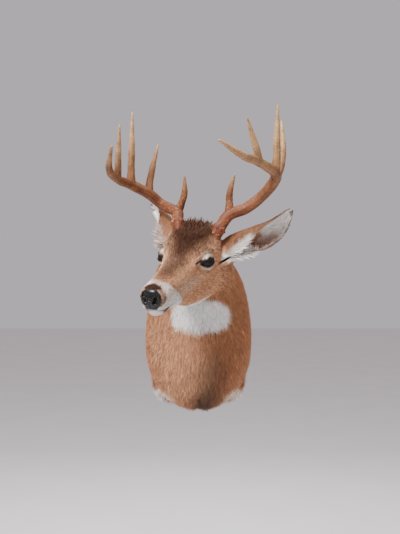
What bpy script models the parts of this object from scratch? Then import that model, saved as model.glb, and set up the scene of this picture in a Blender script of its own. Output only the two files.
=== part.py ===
"""Whitetail buck shoulder mount, life size and still, for Blender 4.5.

The wall is the plane y = 0, and the buck looks out of it, along -Y. +Z is up, and +X is the
buck's own left. The origin is the centre of the backboard's back. Lengths are millimetres
up to the moment a mesh is made, where MM turns them into metres.

The head has a frame of its own: forward from the skull to the nose, left, and up, with its
origin at the tip of the nose. "Back" below is the distance behind the nose tip.
"""

import math

import bmesh
import bpy
import numpy as np

MM = 0.001
GAP = 0.3  # left between two pieces that touch
SEAT_GAP = 0.8  # the same where a curved piece is let into the skull or into a beam

# Where the nose tip is, and how the head is turned.
NOSE_TIP = (-101.0, -530.0, 82.0)
HEAD_YAW = -23.0
HEAD_PITCH = 16.7
HEAD_ROLL = -6.8

# Sections of the shoulders and neck, from the wall to behind the jaw.
# bottom y, z; top y, z; sideways shift of bottom, of top; half width; height of the widest
# place as a share of the section; roundness below and above it; share of the head's turn
BODY_SECTIONS = (
    (0, -217, 0, 205, 0, 0, 123, 0.36, 7.0, 2.1, 0.0),
    (-24, -218, -11, 205, 0, 0, 127, 0.36, 5.0, 2.1, 0.0),
    (-52, -221, -24, 204, 0, 0, 131, 0.36, 2.2, 2.1, 0.0),
    (-92, -226, -43, 203, 0, 0, 135, 0.36, 1.95, 2.1, 0.0),
    (-142, -210, -66, 202, 0, 0, 136, 0.37, 2.0, 2.1, 0.0),
    (-186, -160, -90, 202, 0, 0, 133, 0.39, 2.1, 2.1, 0.05),
    (-216, -98, -114, 203, -1, -1, 126, 0.41, 2.1, 2.1, 0.12),
    (-235, -30, -140, 206, -4, -4, 114, 0.43, 2.1, 2.1, 0.25),
    (-247, 20, -167, 211, -5, -2, 100, 0.45, 2.1, 2.1, 0.42),
    (-254, 50, -196, 217, -3, 5, 89, 0.47, 2.1, 2.1, 0.6),
    (-257, 68, -230, 221, 1, 13, 80, 0.50, 2.1, 2.1, 0.8),
)
# Sections of the head: bottom back, up; top back, up; then as above.
HEAD_SECTIONS = (
    (275, -89, 318, 45, 70, 0.54, 2.0, 2.0),
    (262, -96, 300, 66, 66, 0.58, 1.9, 2.3),
    (248, -99, 280, 83, 64, 0.62, 1.75, 2.6),
    (232, -98, 260, 92, 64, 0.65, 1.65, 2.9),
    (215, -94, 238, 91, 64, 0.67, 1.6, 2.9),
    (197, -88, 215, 83, 60, 0.68, 1.6, 2.7),
    (178, -81, 191, 70, 53, 0.68, 1.65, 2.5),
    (158, -73, 166, 57, 46, 0.68, 1.7, 2.4),
    (136, -65, 142, 46, 40, 0.66, 1.8, 2.2),
    (112, -59, 116, 40, 35, 0.62, 1.9, 2.1),
    (88, -55, 90, 35, 32, 0.58, 2.0, 2.1),
    (64, -53, 65, 31, 30, 0.56, 2.1, 2.1),
    (44, -53, 44, 27, 29, 0.57, 2.1, 2.2),
    (29, -51, 27, 23, 28, 0.60, 2.1, 2.3),
    (18, -46, 13, 18, 26, 0.62, 2.1, 2.3),
    (9, -34, 5, 12, 22, 0.58, 2.1, 2.2),
    (3, -22, 1, 4, 15, 0.55, 2.0, 2.0),
)
NECK_STARTS = 6  # section where the neck piece meets the shoulders
HEAD_STARTS = 10  # section where the head piece meets the neck
RING_POINTS = 44
OUTLINE_SAMPLES = 241
PATH_SAMPLES = 400

# Stretches of sections, each with the space between its rings.
SHOULDER_STRETCHES = ((0, 3, 11.0), (3, NECK_STARTS, 22.0))
NECK_STRETCHES = ((NECK_STARTS, HEAD_STARTS, 24.0),)
HEAD_STRETCHES = ((HEAD_STARTS, 15, 14.0), (15, 18, 7.0), (18, 23, 16.0), (23, 27, 6.0))

# Swellings and hollows of the head, the same on both sides:
# place (back, side, up), reach (back, side, up), push (forward, outward, up)
HEAD_FORMS = (
    ((194, 52, 54), (22, 16, 12), (0, 2, 5)),  # brow over the eye
    ((156, 40, 16), (14, 12, 12), (0, -4, 0)),  # tear pit ahead of the eye
    ((196, 62, -2), (34, 14, 10), (0, 4, 0)),  # cheekbone
    ((230, 60, -42), (26, 22, 26), (0, 5, 0)),  # jaw muscle
    ((150, 40, -30), (26, 20, 18), (0, -3, 0)),  # hollow ahead of the jaw muscle
    ((256, 50, 84), (20, 18, 18), (0, 5, 5)),  # bone that carries the antler
    ((24, 27, 0), (12, 10, 14), (0, 3, 0)),  # swelling behind the nostril
    ((4, 17, 2), (6, 5, 7), (-5, 0, 0)),  # nostril
    ((110, 0, 46), (40, 14, 20), (0, 0, 2)),  # bridge of the nose
    ((222, 0, 90), (26, 22, 20), (0, 0, -4)),  # dip between the brows
)
# The same for the shoulders, in the room's axes: place (side, y, z), reach, push (outward, y, z)
BODY_FORMS = (
    ((84, -58, -190), (24, 26, 28), (0, 8, 16)),  # hollow where the leg would begin
    ((0, -120, -205), (9, 70, 40), (0, 3, 6)),  # crease down the brisket
)

EYE_PLACE = (193, 50.5, 27)  # back, side, up
EYE_RADIUS = 16.5
EYE_LOOK = (0.40, 0.90, 0.08)  # forward, outward, up
EYE_LID_OVER = 3.0
LID_BLEND = 3.0
EYE_ALONG = (-0.86, 0.48, 0.12)  # runs back along the slit of the left eye
EYE_SLIT = (22.0, 18.0, 8.5, 7.0)  # reach of the slit forward, back, up and down

# Ears, in the room: base, tip, where the open side faces, and how the middle bows.
EARS = {
    "left": ((74, -320, 184), (222, -298, 277), (0.37, -0.83, -0.39), (12, 0, -15)),
    "right": ((-58, -272, 203), (-124, -140, 299), (-0.80, -0.34, -0.20), (-1, 0, -3)),
}
# share of the length; radius; half of the angle wrapped, from the ear's back; thickness
EAR_SECTIONS = (
    (-0.28, 22, 172, 7.0),
    (0.00, 29, 170, 6.5),
    (0.12, 29, 160, 6.0),
    (0.27, 30, 138, 5.5),
    (0.40, 31, 112, 5.0),
    (0.55, 30, 92, 4.6),
    (0.72, 28, 78, 4.0),
    (0.86, 22, 70, 3.4),
    (0.95, 14, 64, 2.8),
    (1.00, 5, 60, 2.2),
)
EAR_RINGS = 16
EAR_ACROSS = 11
EAR_THINNING = 0.45  # share of its thickness that the ear loses at its two edges
EAR_BEND_POWER = 1.6

# Antlers, in the head's frame: back, side, up, radius. A fork is where a tine leaves the beam.
BEAMS = {
    "left": (
        (245, 45, 66, 19.0),
        (254, 54, 82, 19.0),
        (262, 60, 94, 15.0),
        (281, 73, 116, 14.5),
        (301, 108, 131, 13.0),
        (312, 140, 159, 12.5),
        (305, 169, 195, 13.0),
        (264, 184, 225, 12.0),
        (208, 165, 258, 10.0),
        (147, 149, 281, 8.0),
        (86, 119, 321, 2.5),
    ),
    "right": (
        (238, 34, 72, 19.0),
        (249, 42, 88, 19.0),
        (260, 48, 98, 15.0),
        (283, 58, 109, 14.5),
        (304, 88, 112, 13.0),
        (314, 116, 119, 12.5),
        (297, 138, 144, 13.0),
        (254, 163, 173, 12.0),
        (193, 166, 198, 10.0),
        (136, 156, 233, 8.0),
        (92, 124, 294, 2.5),
    ),
}
BEAM_FORKS = (3, 6, 7, 8)  # which beam points carry the brow tine and tines 2 to 4
# Each tine from its fork outwards: back, side, up, radius
TINES = {
    "left": (
        ((281, 73, 116, 11.5), (290, 69, 142, 8.5), (292, 70, 170, 7.0), (299, 79, 209, 1.8)),
        ((305, 169, 195, 11.0), (322, 180, 228, 8.5), (333, 180, 271, 7.0), (351, 170, 327, 1.8)),
        ((264, 184, 225, 11.0), (265, 187, 262, 8.5), (265, 186, 304, 7.5), (266, 186, 373, 1.8)),
        ((208, 165, 258, 9.5), (194, 164, 286, 7.5), (181, 160, 313, 6.5), (153, 155, 359, 1.8)),
    ),
    "right": (
        ((283, 58, 109, 11.5), (289, 49, 132, 8.5), (292, 43, 157, 7.0), (297, 45, 195, 1.8)),
        ((297, 138, 144, 11.0), (313, 142, 172, 8.5), (329, 141, 204, 7.0), (352, 136, 256, 1.8)),
        ((254, 163, 173, 11.0), (259, 164, 212, 8.5), (261, 162, 259, 7.5), (267, 161, 341, 1.8)),
        ((193, 166, 198, 9.5), (186, 160, 230, 7.5), (179, 154, 264, 6.5), (165, 142, 326, 1.8)),
    ),
}
PAST_FORK = 15.0  # the beam is parted this far beyond each fork
BEAM_PIECES = ("base", "lower_beam", "middle_beam", "upper_beam", "beam_tip")
BEAM_RINGS_PER_KEY = 3
BEAM_SIDES = 10
TINE_RINGS = 8
TINE_SIDES = 8
LEAST_RINGS = 4

BOARD_THICKNESS = 19.0
BOARD_INSET = 14.0
SEAT_PAST_BACK = 10.0  # the seat's cutter reaches this far behind the wall

NOSE_PAD_BACK = 11.0  # the bare nose ends this far behind the tip
NOSE_PAD_UP = (-30.0, 9.0)
MOUTH_UP = -31.5
MOUTH_BACK = 80.0
BLOCK_FORWARD = 60.0
BLOCK_SIDE = 45.0
BLOCK_UP = -90.0
PAST_BLOCK = 1.0  # each space reaches this far beyond its block, where neither meets the head

BALL_SEGMENTS = 16
BALL_RINGS = 10
SLIT_POINTS = 16
SLIT_REACH = (2.0, 40.0)  # the prism between the lids starts and ends this far from the eye's middle
SLIT_FULLNESS = 0.4

COLOURS = {
    "hide": ((0.36, 0.20, 0.11, 1), 0.85),
    "ear": ((0.42, 0.30, 0.21, 1), 0.85),
    "nose": ((0.012, 0.011, 0.011, 1), 0.35),
    "chin": ((0.70, 0.65, 0.58, 1), 0.85),
    "eye": ((0.02, 0.012, 0.008, 1), 0.05),
    "antler": ((0.34, 0.17, 0.07, 1), 0.55),
    "board": ((0.50, 0.36, 0.22, 1), 0.75),
}


def head_axes():
    """Forward, left and up of the head, as the columns of a matrix in the room's axes."""
    yaw, pitch, roll = (math.radians(angle) for angle in (HEAD_YAW, HEAD_PITCH, HEAD_ROLL))
    turn = np.array([
        [math.cos(yaw), -math.sin(yaw), 0],
        [math.sin(yaw), math.cos(yaw), 0],
        [0, 0, 1],
    ])
    facing = np.array([[0, 1, 0], [-1, 0, 0], [0, 0, 1]])
    nod = np.array([
        [math.cos(pitch), 0, math.sin(pitch)],
        [0, 1, 0],
        [-math.sin(pitch), 0, math.cos(pitch)],
    ])
    lean = np.array([
        [1, 0, 0],
        [0, math.cos(roll), -math.sin(roll)],
        [0, math.sin(roll), math.cos(roll)],
    ])
    return turn @ facing @ nod @ lean


HEAD = head_axes()


def from_head(points):
    """Room coordinates of points given as forward, left, up from the nose tip."""
    return np.asarray(points, float) @ HEAD.T + np.array(NOSE_TIP)


def to_head(points):
    return (np.asarray(points, float) - np.array(NOSE_TIP)) @ HEAD


def unit(vector):
    vector = np.asarray(vector, float)
    return vector / np.linalg.norm(vector, axis=-1, keepdims=True)


def smooth_between(rows, at):
    """Rows of numbers, read at fractional positions along a smooth curve through them."""
    rows = np.asarray(rows, float)
    slopes = np.gradient(rows, axis=0)
    at = np.atleast_1d(np.asarray(at, float))
    first = np.clip(np.floor(at).astype(int), 0, len(rows) - 2)
    u = (at - first)[:, None]
    a, b = rows[first], rows[first + 1]
    ma, mb = slopes[first], slopes[first + 1]
    return (
        (2 * u**3 - 3 * u**2 + 1) * a
        + (u**3 - 2 * u**2 + u) * ma
        + (3 * u**2 - 2 * u**3) * b
        + (u**3 - u**2) * mb
    )


def body_rows():
    """Each section as bottom, top, sideways direction, half width, widest height, roundness."""
    rows = []
    for by, bz, ty, tz, bx, tx, half, wide, low, high, turn in BODY_SECTIONS:
        side = unit((1 - turn) * np.array([1.0, 0, 0]) + turn * HEAD[:, 1])
        rows.append([bx, by, bz, tx, ty, tz, *side, half, wide, low, high])
    for bottom_back, bottom_up, top_back, top_up, half, wide, low, high in HEAD_SECTIONS:
        bottom = from_head((-bottom_back, 0, bottom_up))
        top = from_head((-top_back, 0, top_up))
        rows.append([*bottom, *top, *HEAD[:, 1], half, wide, low, high])
    return np.array(rows)


ROWS = body_rows()


def ring(row, count):
    """The outline of one section: up its left side from the bottom, and down its right side."""
    bottom, top, side = row[0:3], row[3:6], row[6:9]
    half, wide, low, high = row[9:13]
    angle = np.linspace(0, math.pi, OUTLINE_SAMPLES)
    power = np.where(angle < math.pi / 2, low, high)
    across = half * np.abs(np.sin(angle)) ** (2 / power)
    cosine = np.abs(np.cos(angle)) ** (2 / power)
    rise = np.where(angle < math.pi / 2, wide - wide * cosine, wide + (1 - wide) * cosine)
    steps = np.hypot(np.diff(across), np.diff(rise) * np.linalg.norm(top - bottom))
    length = np.concatenate([[0], np.cumsum(steps)])
    share = np.linspace(0, length[-1], count // 2 + 1)
    across = np.interp(share, length, across)
    rise = np.interp(share, length, rise)
    left = bottom + rise[:, None] * (top - bottom) + across[:, None] * side
    right = bottom + rise[:, None] * (top - bottom) - across[:, None] * side
    return np.concatenate([left, right[-2:0:-1]])


def pushed(points, forms, mirror_axis):
    """Moves points by each swelling or hollow, and by its mirror image."""
    moved = points.copy()
    for place, reach, push in forms:
        for sign in (1, -1) if place[mirror_axis] else (1,):
            flip = np.ones(3)
            flip[mirror_axis] = sign
            away = (points - np.array(place) * flip) / np.array(reach)
            weight = np.exp(-(away**2).sum(axis=-1))
            moved += weight[..., None] * np.array(push) * flip
    return moved


def eye_frame(sign):
    """Centre of an eye, and its axes: back along the slit, up, and outward."""
    back, side, up = EYE_PLACE
    centre = np.array([-back, side * sign, up])
    look = unit(np.array([EYE_LOOK[0], EYE_LOOK[1] * sign, EYE_LOOK[2]]))
    along = np.array([EYE_ALONG[0], EYE_ALONG[1] * sign, EYE_ALONG[2]])
    along = unit(along - look * np.dot(look, along))
    over = unit(np.cross(along, look) * -sign)
    return centre, np.array([along, over, look])


def with_lids(points):
    """Lays the skin round each eye over the ball."""
    radius = EYE_RADIUS + EYE_LID_OVER
    for sign in (1, -1):
        centre, _ = eye_frame(sign)
        away = points - centre
        size = np.linalg.norm(away, axis=-1, keepdims=True)
        wanted = 0.5 * (size + radius + np.sqrt((size - radius) ** 2 + LID_BLEND**2))
        points = centre + away * wanted / size
    return points


def sculpted(points):
    """The swellings, hollows and eyelids, on points in the room."""
    points = pushed(points, BODY_FORMS, 0)
    on_head = pushed(to_head(points), [
        ((-back, side, up), reach, push) for (back, side, up), reach, push in HEAD_FORMS
    ], 1)
    return from_head(with_lids(on_head))


def outline_rings(sections, count):
    return np.array([ring(row, count) for row in smooth_between(ROWS, sections)])


def new_object(name, vertices, faces, material, helper=False):
    """A mesh object from points in millimetres, in the model's or the cutters' collection."""
    mesh = bpy.data.meshes.new(name)
    mesh.from_pydata([tuple(point * MM) for point in np.asarray(vertices)], [], faces)
    work = bmesh.new()
    work.from_mesh(mesh)
    bmesh.ops.recalc_face_normals(work, faces=work.faces)
    work.to_mesh(mesh)
    work.free()
    return placed(bpy.data.objects.new(name, mesh), material, helper)


def placed(obj, material, helper=False):
    if helper:
        CUTTERS.objects.link(obj)
        obj.hide_render = True
        obj.display_type = "WIRE"
    else:
        MODEL.objects.link(obj)
        obj.data.materials.append(MATERIALS[material])
    return obj


def loft(name, rings, material, helper=False):
    """A closed solid through a list of closed rings, each with the same number of points."""
    rings = np.asarray(rings)
    number, count = rings.shape[:2]
    faces = []
    for i in range(number - 1):
        for j in range(count):
            k = (j + 1) % count
            faces.append((i * count + j, i * count + k, (i + 1) * count + k, (i + 1) * count + j))
    vertices = list(rings.reshape(-1, 3))
    for i, turned in ((0, True), (number - 1, False)):
        centre = len(vertices)
        vertices.append(rings[i].mean(axis=0))
        for j in range(count):
            k = (j + 1) % count
            edge = (i * count + j, i * count + k)
            faces.append((edge[1], edge[0], centre) if turned else (*edge, centre))
    return new_object(name, vertices, faces, material, helper)


def cut(obj, cutter, operation="DIFFERENCE"):
    modifier = obj.modifiers.new(f"{operation.lower()} {cutter.name}", "BOOLEAN")
    modifier.object = cutter
    modifier.operation = operation
    modifier.solver = "EXACT"
    return obj


def grown(rings, by):
    """The same rings, moved outward along the surface they make."""
    along = np.gradient(rings, axis=0)
    around = np.roll(rings, -1, axis=1) - np.roll(rings, 1, axis=1)
    normal = np.cross(around, along)
    size = np.linalg.norm(normal, axis=-1, keepdims=True)
    normal = normal / np.maximum(size, 1e-9)
    outward = rings - rings.mean(axis=1, keepdims=True)
    if (normal * outward).sum() < 0:
        normal = -normal
    return rings + by * normal


def steps_between(first, last, spacing):
    """Section positions from first to last, about this far apart on the surface."""
    fine = np.linspace(first, last, PATH_SAMPLES)
    rows = smooth_between(ROWS, fine)
    middle = 0.5 * (rows[:, 0:3] + rows[:, 3:6])
    top = rows[:, 3:6]
    travel = np.linalg.norm(np.diff(0.5 * (middle + top), axis=0), axis=1)
    length = np.concatenate([[0], np.cumsum(travel)])
    count = max(2, round(length[-1] / spacing) + 1)
    return np.interp(np.linspace(0, length[-1], count), length, fine)


def positions(stretches):
    """Section positions over these stretches, each with its own spacing."""
    made = [steps_between(*stretch) for stretch in stretches]
    return np.concatenate([made[0], *(more[1:] for more in made[1:])])


def parted(rings, start):
    """The rings with the first one (or last one) drawn back by the gap along the loft."""
    rings = rings.copy()
    end, inner = (0, 1) if start else (-1, -2)
    toward = rings[inner].mean(axis=0) - rings[end].mean(axis=0)
    normal = np.cross(rings[end][3] - rings[end][0], rings[end][-3] - rings[end][0])
    normal = unit(normal) * np.sign(np.dot(normal, toward))
    rings[end] = rings[end] + GAP * normal
    return rings


def make_body():
    """Shoulders and neck, in two pieces, with the board let into the back."""
    lower = sculpted(outline_rings(positions(SHOULDER_STRETCHES), RING_POINTS))
    shoulders = loft("shoulders", parted(lower, False), "hide")
    upper = sculpted(outline_rings(positions(NECK_STRETCHES), RING_POINTS))
    loft("neck", parted(upper, True), "hide")

    outline = ring(ROWS[0], RING_POINTS)
    middle = outline.mean(axis=0)
    inset = 1 - BOARD_INSET / ROWS[0][9]
    board_edge = middle + (outline - middle) * inset
    front = np.array([0, -BOARD_THICKNESS, 0])
    loft("backboard", [board_edge, board_edge + front], "board")
    seat_edge = middle + (board_edge - middle) * (1 + GAP / ROWS[0][9])
    back = np.array([0, SEAT_PAST_BACK, 0])
    seat = loft(
        "board seat", [seat_edge + back, seat_edge + front - (0, GAP, 0)], "board", helper=True
    )
    cut(shoulders, seat)


def make_head():
    """The head, with its eyes, bare nose and lower lip and chin as pieces of their own."""
    rings = sculpted(outline_rings(positions(HEAD_STRETCHES), RING_POINTS))
    rings[0] = outline_rings([HEAD_STARTS], RING_POINTS)[0]
    cutter = loft("head with clearance", grown(rings, SEAT_GAP), "hide", helper=True)
    head = loft("head", rings, "hide")
    for side, sign in (("left", 1), ("right", -1)):
        centre, _ = eye_frame(sign)
        ball(f"eye_{side}", from_head(centre), EYE_RADIUS, "eye")
        socket = ball(f"socket {side}", from_head(centre), EYE_RADIUS + GAP, "eye", helper=True)
        cut(socket, slit_between_lids(side, sign), "UNION")
        cut(head, socket)

    low, high = NOSE_PAD_UP
    nose_block = head_block("nose block", -NOSE_PAD_BACK, BLOCK_SIDE, (low, high))
    nose_space = head_block(
        "nose space", -NOSE_PAD_BACK - GAP, BLOCK_SIDE + PAST_BLOCK, (low - GAP, high + GAP)
    )
    chin_block = head_block("chin block", -MOUTH_BACK, BLOCK_SIDE, (BLOCK_UP, MOUTH_UP))
    chin_space = head_block(
        "chin space", -MOUTH_BACK - GAP, BLOCK_SIDE + PAST_BLOCK,
        (BLOCK_UP - PAST_BLOCK, MOUTH_UP + GAP),
    )
    cut(loft("nose", rings, "nose"), nose_block, "INTERSECT")
    cut(loft("chin", rings, "chin"), chin_block, "INTERSECT")
    cut(head, nose_space)
    cut(head, chin_space)
    return cutter


def slit_between_lids(side, sign):
    """An almond prism that runs outward from the middle of the eye."""
    centre, axes = eye_frame(sign)
    front, back, above, below = EYE_SLIT
    angle = np.linspace(0, 2 * math.pi, SLIT_POINTS, endpoint=False)
    reach = np.where(np.cos(angle) > 0, back, front)
    height = np.where(np.sin(angle) > 0, above, below) * np.abs(np.sin(angle)) ** SLIT_FULLNESS
    outline = np.stack([reach * np.cos(angle), height * np.sin(angle), 0 * angle], axis=1)
    rings = [from_head((outline + (0, 0, out)) @ axes + centre) for out in SLIT_REACH]
    return loft(f"slit {side}", rings, "eye", helper=True)


def head_block(name, back, side, up):
    """A box in the head's axes, used to part the nose and chin from the head."""
    corners = [(x, y, z) for x in (back, BLOCK_FORWARD) for y in (-side, side) for z in up]
    faces = ((0, 1, 3, 2), (4, 6, 7, 5), (0, 4, 5, 1), (2, 3, 7, 6), (0, 2, 6, 4), (1, 5, 7, 3))
    return new_object(name, from_head(corners), faces, "hide", helper=True)


def ball(name, centre, radius, material, helper=False):
    mesh = bpy.data.meshes.new(name)
    work = bmesh.new()
    bmesh.ops.create_uvsphere(work, u_segments=BALL_SEGMENTS, v_segments=BALL_RINGS, radius=radius * MM)
    work.to_mesh(mesh)
    work.free()
    obj = bpy.data.objects.new(name, mesh)
    obj.location = centre * MM
    return placed(obj, material, helper)


def make_ear(side, head_space):
    """A cupped leaf: a tube at its root that opens along one side toward the tip."""
    base, tip, open_to, bow = EARS[side]
    base, tip = np.array(base, float), np.array(tip, float)
    length = np.linalg.norm(tip - base)
    along = unit(tip - base)
    open_to = unit(np.array(open_to) - along * np.dot(along, open_to))
    across = np.cross(along, open_to)
    keys = np.array(EAR_SECTIONS)
    shares = np.linspace(keys[0, 0], 1, EAR_RINGS)
    loops = []
    for share in shares:
        radius, wrap, thick = (np.interp(share, keys[:, 0], keys[:, i]) for i in (1, 2, 3))
        bend = math.sin(math.pi * max(share, 0) ** EAR_BEND_POWER)
        middle = base + along * length * share + np.array(bow) * bend
        angle = np.radians(np.linspace(-wrap, wrap, EAR_ACROSS))
        spoke = -np.cos(angle)[:, None] * open_to + np.sin(angle)[:, None] * across
        thin = thick * (1 - EAR_THINNING * np.abs(np.linspace(-1, 1, EAR_ACROSS)) ** 3)
        outer = middle + spoke * radius
        inner = middle + spoke * np.maximum(radius - thin, 0.5)[:, None]
        loops.append(np.concatenate([outer, inner[::-1]]))
    ear = strip_loft(f"ear_{side}", loops, EAR_ACROSS, "ear")
    cut(ear, head_space)
    return ear


def strip_loft(name, loops, count, material):
    """A closed solid through loops that run out along one face and back along the other."""
    loops = np.asarray(loops)
    around = 2 * count
    faces = []
    for i in range(len(loops) - 1):
        for j in range(around):
            k = (j + 1) % around
            faces.append((i * around + j, i * around + k, (i + 1) * around + k, (i + 1) * around + j))
    for i in (0, len(loops) - 1):
        for j in range(count - 1):
            quad = [i * around + n for n in (j, j + 1, around - 2 - j, around - 1 - j)]
            faces.append(tuple(quad if i else quad[::-1]))
    return new_object(name, loops.reshape(-1, 3), faces, material)


def tube_rings(keys, at, sides, extra=0.0):
    """Untwisted rings round a smooth path of (back, side, up, radius) keys in the head's frame.

    Returns the rings, and the direction of the path at each of them.
    """
    ends = smooth_between(keys, at + 0.01), smooth_between(keys, at - 0.01)
    ahead, behind = (from_head(end[:, :3] * (-1, 1, 1)) for end in ends)
    along = unit(ahead - behind)
    rows = smooth_between(keys, at)
    angle = np.linspace(0, 2 * math.pi, sides, endpoint=False)[:, None]
    across = np.array([1.0, 0, 0])
    rings = []
    for middle, onward, radius in zip(from_head(rows[:, :3] * (-1, 1, 1)), along, rows[:, 3]):
        across = unit(across - onward * np.dot(across, onward))
        spoke = np.cos(angle) * across + np.sin(angle) * np.cross(onward, across)
        rings.append(middle + spoke * (radius + extra))
    return np.array(rings), along


def key_step(keys, at, length):
    """The position this far along a path beyond the position given."""
    fine = np.linspace(at, len(keys) - 1, PATH_SAMPLES)
    points = smooth_between(keys, fine)[:, :3]
    travel = np.concatenate([[0], np.cumsum(np.linalg.norm(np.diff(points, axis=0), axis=1))])
    return float(np.interp(length, travel, fine))


def make_antler(side, head_space):
    """The beam in five lengths, parted beyond each fork, and a tine at each fork."""
    flip = np.array([1, 1 if side == "left" else -1, 1, 1])
    beam = np.array(BEAMS[side], float) * flip
    ends = [0.0] + [key_step(beam, fork, PAST_FORK) for fork in BEAM_FORKS] + [len(beam) - 1.0]
    stretches = [
        np.linspace(start, end, max(LEAST_RINGS, round((end - start) * BEAM_RINGS_PER_KEY) + 1))
        for start, end in zip(ends[:-1], ends[1:])
    ]
    at = np.concatenate([stretches[0], *(stretch[1:] for stretch in stretches[1:])])
    rings, along = tube_rings(beam, at, BEAM_SIDES)
    space, _ = tube_rings(beam, at, BEAM_SIDES, SEAT_GAP)
    beam_space = loft(f"space round beam {side}", space, "antler", helper=True)

    first = 0
    for name, stretch in zip(BEAM_PIECES, stretches):
        last = first + len(stretch) - 1
        piece_rings = rings[first : last + 1].copy()
        if first:
            piece_rings[0] += GAP * along[first]
        piece = loft(f"antler_{side}_{name}", piece_rings, "antler")
        if not first:
            cut(piece, head_space)
        first = last
    for number, tine in enumerate(TINES[side], start=1):
        keys = np.array(tine, float) * flip
        rings, _ = tube_rings(keys, np.linspace(0, len(keys) - 1, TINE_RINGS), TINE_SIDES)
        cut(loft(f"antler_{side}_tine_{number}", rings, "antler"), beam_space)


def make_materials():
    made = {}
    for name, (colour, roughness) in COLOURS.items():
        material = bpy.data.materials.new(name)
        material.use_nodes = True
        shader = material.node_tree.nodes["Principled BSDF"]
        shader.inputs["Base Color"].default_value = colour
        shader.inputs["Roughness"].default_value = roughness
        shader.inputs["Metallic"].default_value = 0
        material.diffuse_color = colour
        made[name] = material
    return made


for old in list(bpy.data.objects):
    bpy.data.objects.remove(old)

MODEL = bpy.data.collections.new("buck shoulder mount")
CUTTERS = bpy.data.collections.new("cutters")
bpy.context.scene.collection.children.link(MODEL)
bpy.context.scene.collection.children.link(CUTTERS)
MATERIALS = make_materials()

make_body()
head_clearance = make_head()
for which in ("left", "right"):
    make_ear(which, head_clearance)
    make_antler(which, head_clearance)
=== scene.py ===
import math
import bmesh
import bpy
import numpy as np
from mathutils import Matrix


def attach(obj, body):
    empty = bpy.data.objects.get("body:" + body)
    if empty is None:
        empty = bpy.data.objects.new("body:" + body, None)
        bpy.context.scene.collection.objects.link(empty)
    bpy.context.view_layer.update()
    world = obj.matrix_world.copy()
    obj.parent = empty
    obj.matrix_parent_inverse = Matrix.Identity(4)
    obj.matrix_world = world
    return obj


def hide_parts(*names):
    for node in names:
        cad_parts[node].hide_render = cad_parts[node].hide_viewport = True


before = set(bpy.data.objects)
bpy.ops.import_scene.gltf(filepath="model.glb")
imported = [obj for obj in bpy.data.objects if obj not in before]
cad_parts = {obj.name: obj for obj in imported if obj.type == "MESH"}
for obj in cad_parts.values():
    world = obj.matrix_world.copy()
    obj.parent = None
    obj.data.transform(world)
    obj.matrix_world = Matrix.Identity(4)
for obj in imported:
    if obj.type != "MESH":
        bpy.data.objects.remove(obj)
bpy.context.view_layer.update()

# Lengths are millimetres until a mesh is made. The buck looks along -Y and +X is its own left.
mm = 0.001

pose = {
    "noseTip": (-101.0, -530.0, 82.0),
    "yaw": -23.0,
    "pitch": 16.7,
    "roll": -6.8,
}

# bottom y, z; top y, z; shift of bottom, of top; half width; widest height; roundness; head turn
bodySections = (
    (0, -217, 0, 205, 0, 0, 123, 0.36, 7.0, 2.1, 0.0),
    (-24, -218, -11, 205, 0, 0, 127, 0.36, 5.0, 2.1, 0.0),
    (-52, -221, -24, 204, 0, 0, 131, 0.36, 2.2, 2.1, 0.0),
    (-92, -226, -43, 203, 0, 0, 135, 0.36, 1.95, 2.1, 0.0),
    (-142, -210, -66, 202, 0, 0, 136, 0.37, 2.0, 2.1, 0.0),
    (-186, -160, -90, 202, 0, 0, 133, 0.39, 2.1, 2.1, 0.05),
    (-216, -98, -114, 203, -1, -1, 126, 0.41, 2.1, 2.1, 0.12),
    (-235, -30, -140, 206, -4, -4, 114, 0.43, 2.1, 2.1, 0.25),
    (-247, 20, -167, 211, -5, -2, 100, 0.45, 2.1, 2.1, 0.42),
    (-254, 50, -196, 217, -3, 5, 89, 0.47, 2.1, 2.1, 0.6),
    (-257, 68, -230, 221, 1, 13, 80, 0.50, 2.1, 2.1, 0.8),
)
# bottom back, up; top back, up; half width; widest height; roundness below and above
headSections = (
    (275, -89, 318, 45, 70, 0.54, 2.0, 2.0),
    (262, -96, 300, 66, 66, 0.58, 1.9, 2.3),
    (248, -99, 280, 83, 64, 0.62, 1.75, 2.6),
    (232, -98, 260, 92, 64, 0.65, 1.65, 2.9),
    (215, -94, 238, 91, 64, 0.67, 1.6, 2.9),
    (197, -88, 215, 83, 60, 0.68, 1.6, 2.7),
    (178, -81, 191, 70, 53, 0.68, 1.65, 2.5),
    (158, -73, 166, 57, 46, 0.68, 1.7, 2.4),
    (136, -65, 142, 46, 40, 0.66, 1.8, 2.2),
    (112, -59, 116, 40, 35, 0.62, 1.9, 2.1),
    (88, -55, 90, 35, 32, 0.58, 2.0, 2.1),
    (64, -53, 65, 31, 30, 0.56, 2.1, 2.1),
    (44, -53, 44, 27, 29, 0.57, 2.1, 2.2),
    (29, -51, 27, 23, 28, 0.60, 2.1, 2.3),
    (18, -46, 13, 18, 26, 0.62, 2.1, 2.3),
    (9, -34, 5, 12, 22, 0.58, 2.1, 2.2),
    (3, -22, 1, 4, 15, 0.55, 2.0, 2.0),
)

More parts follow.
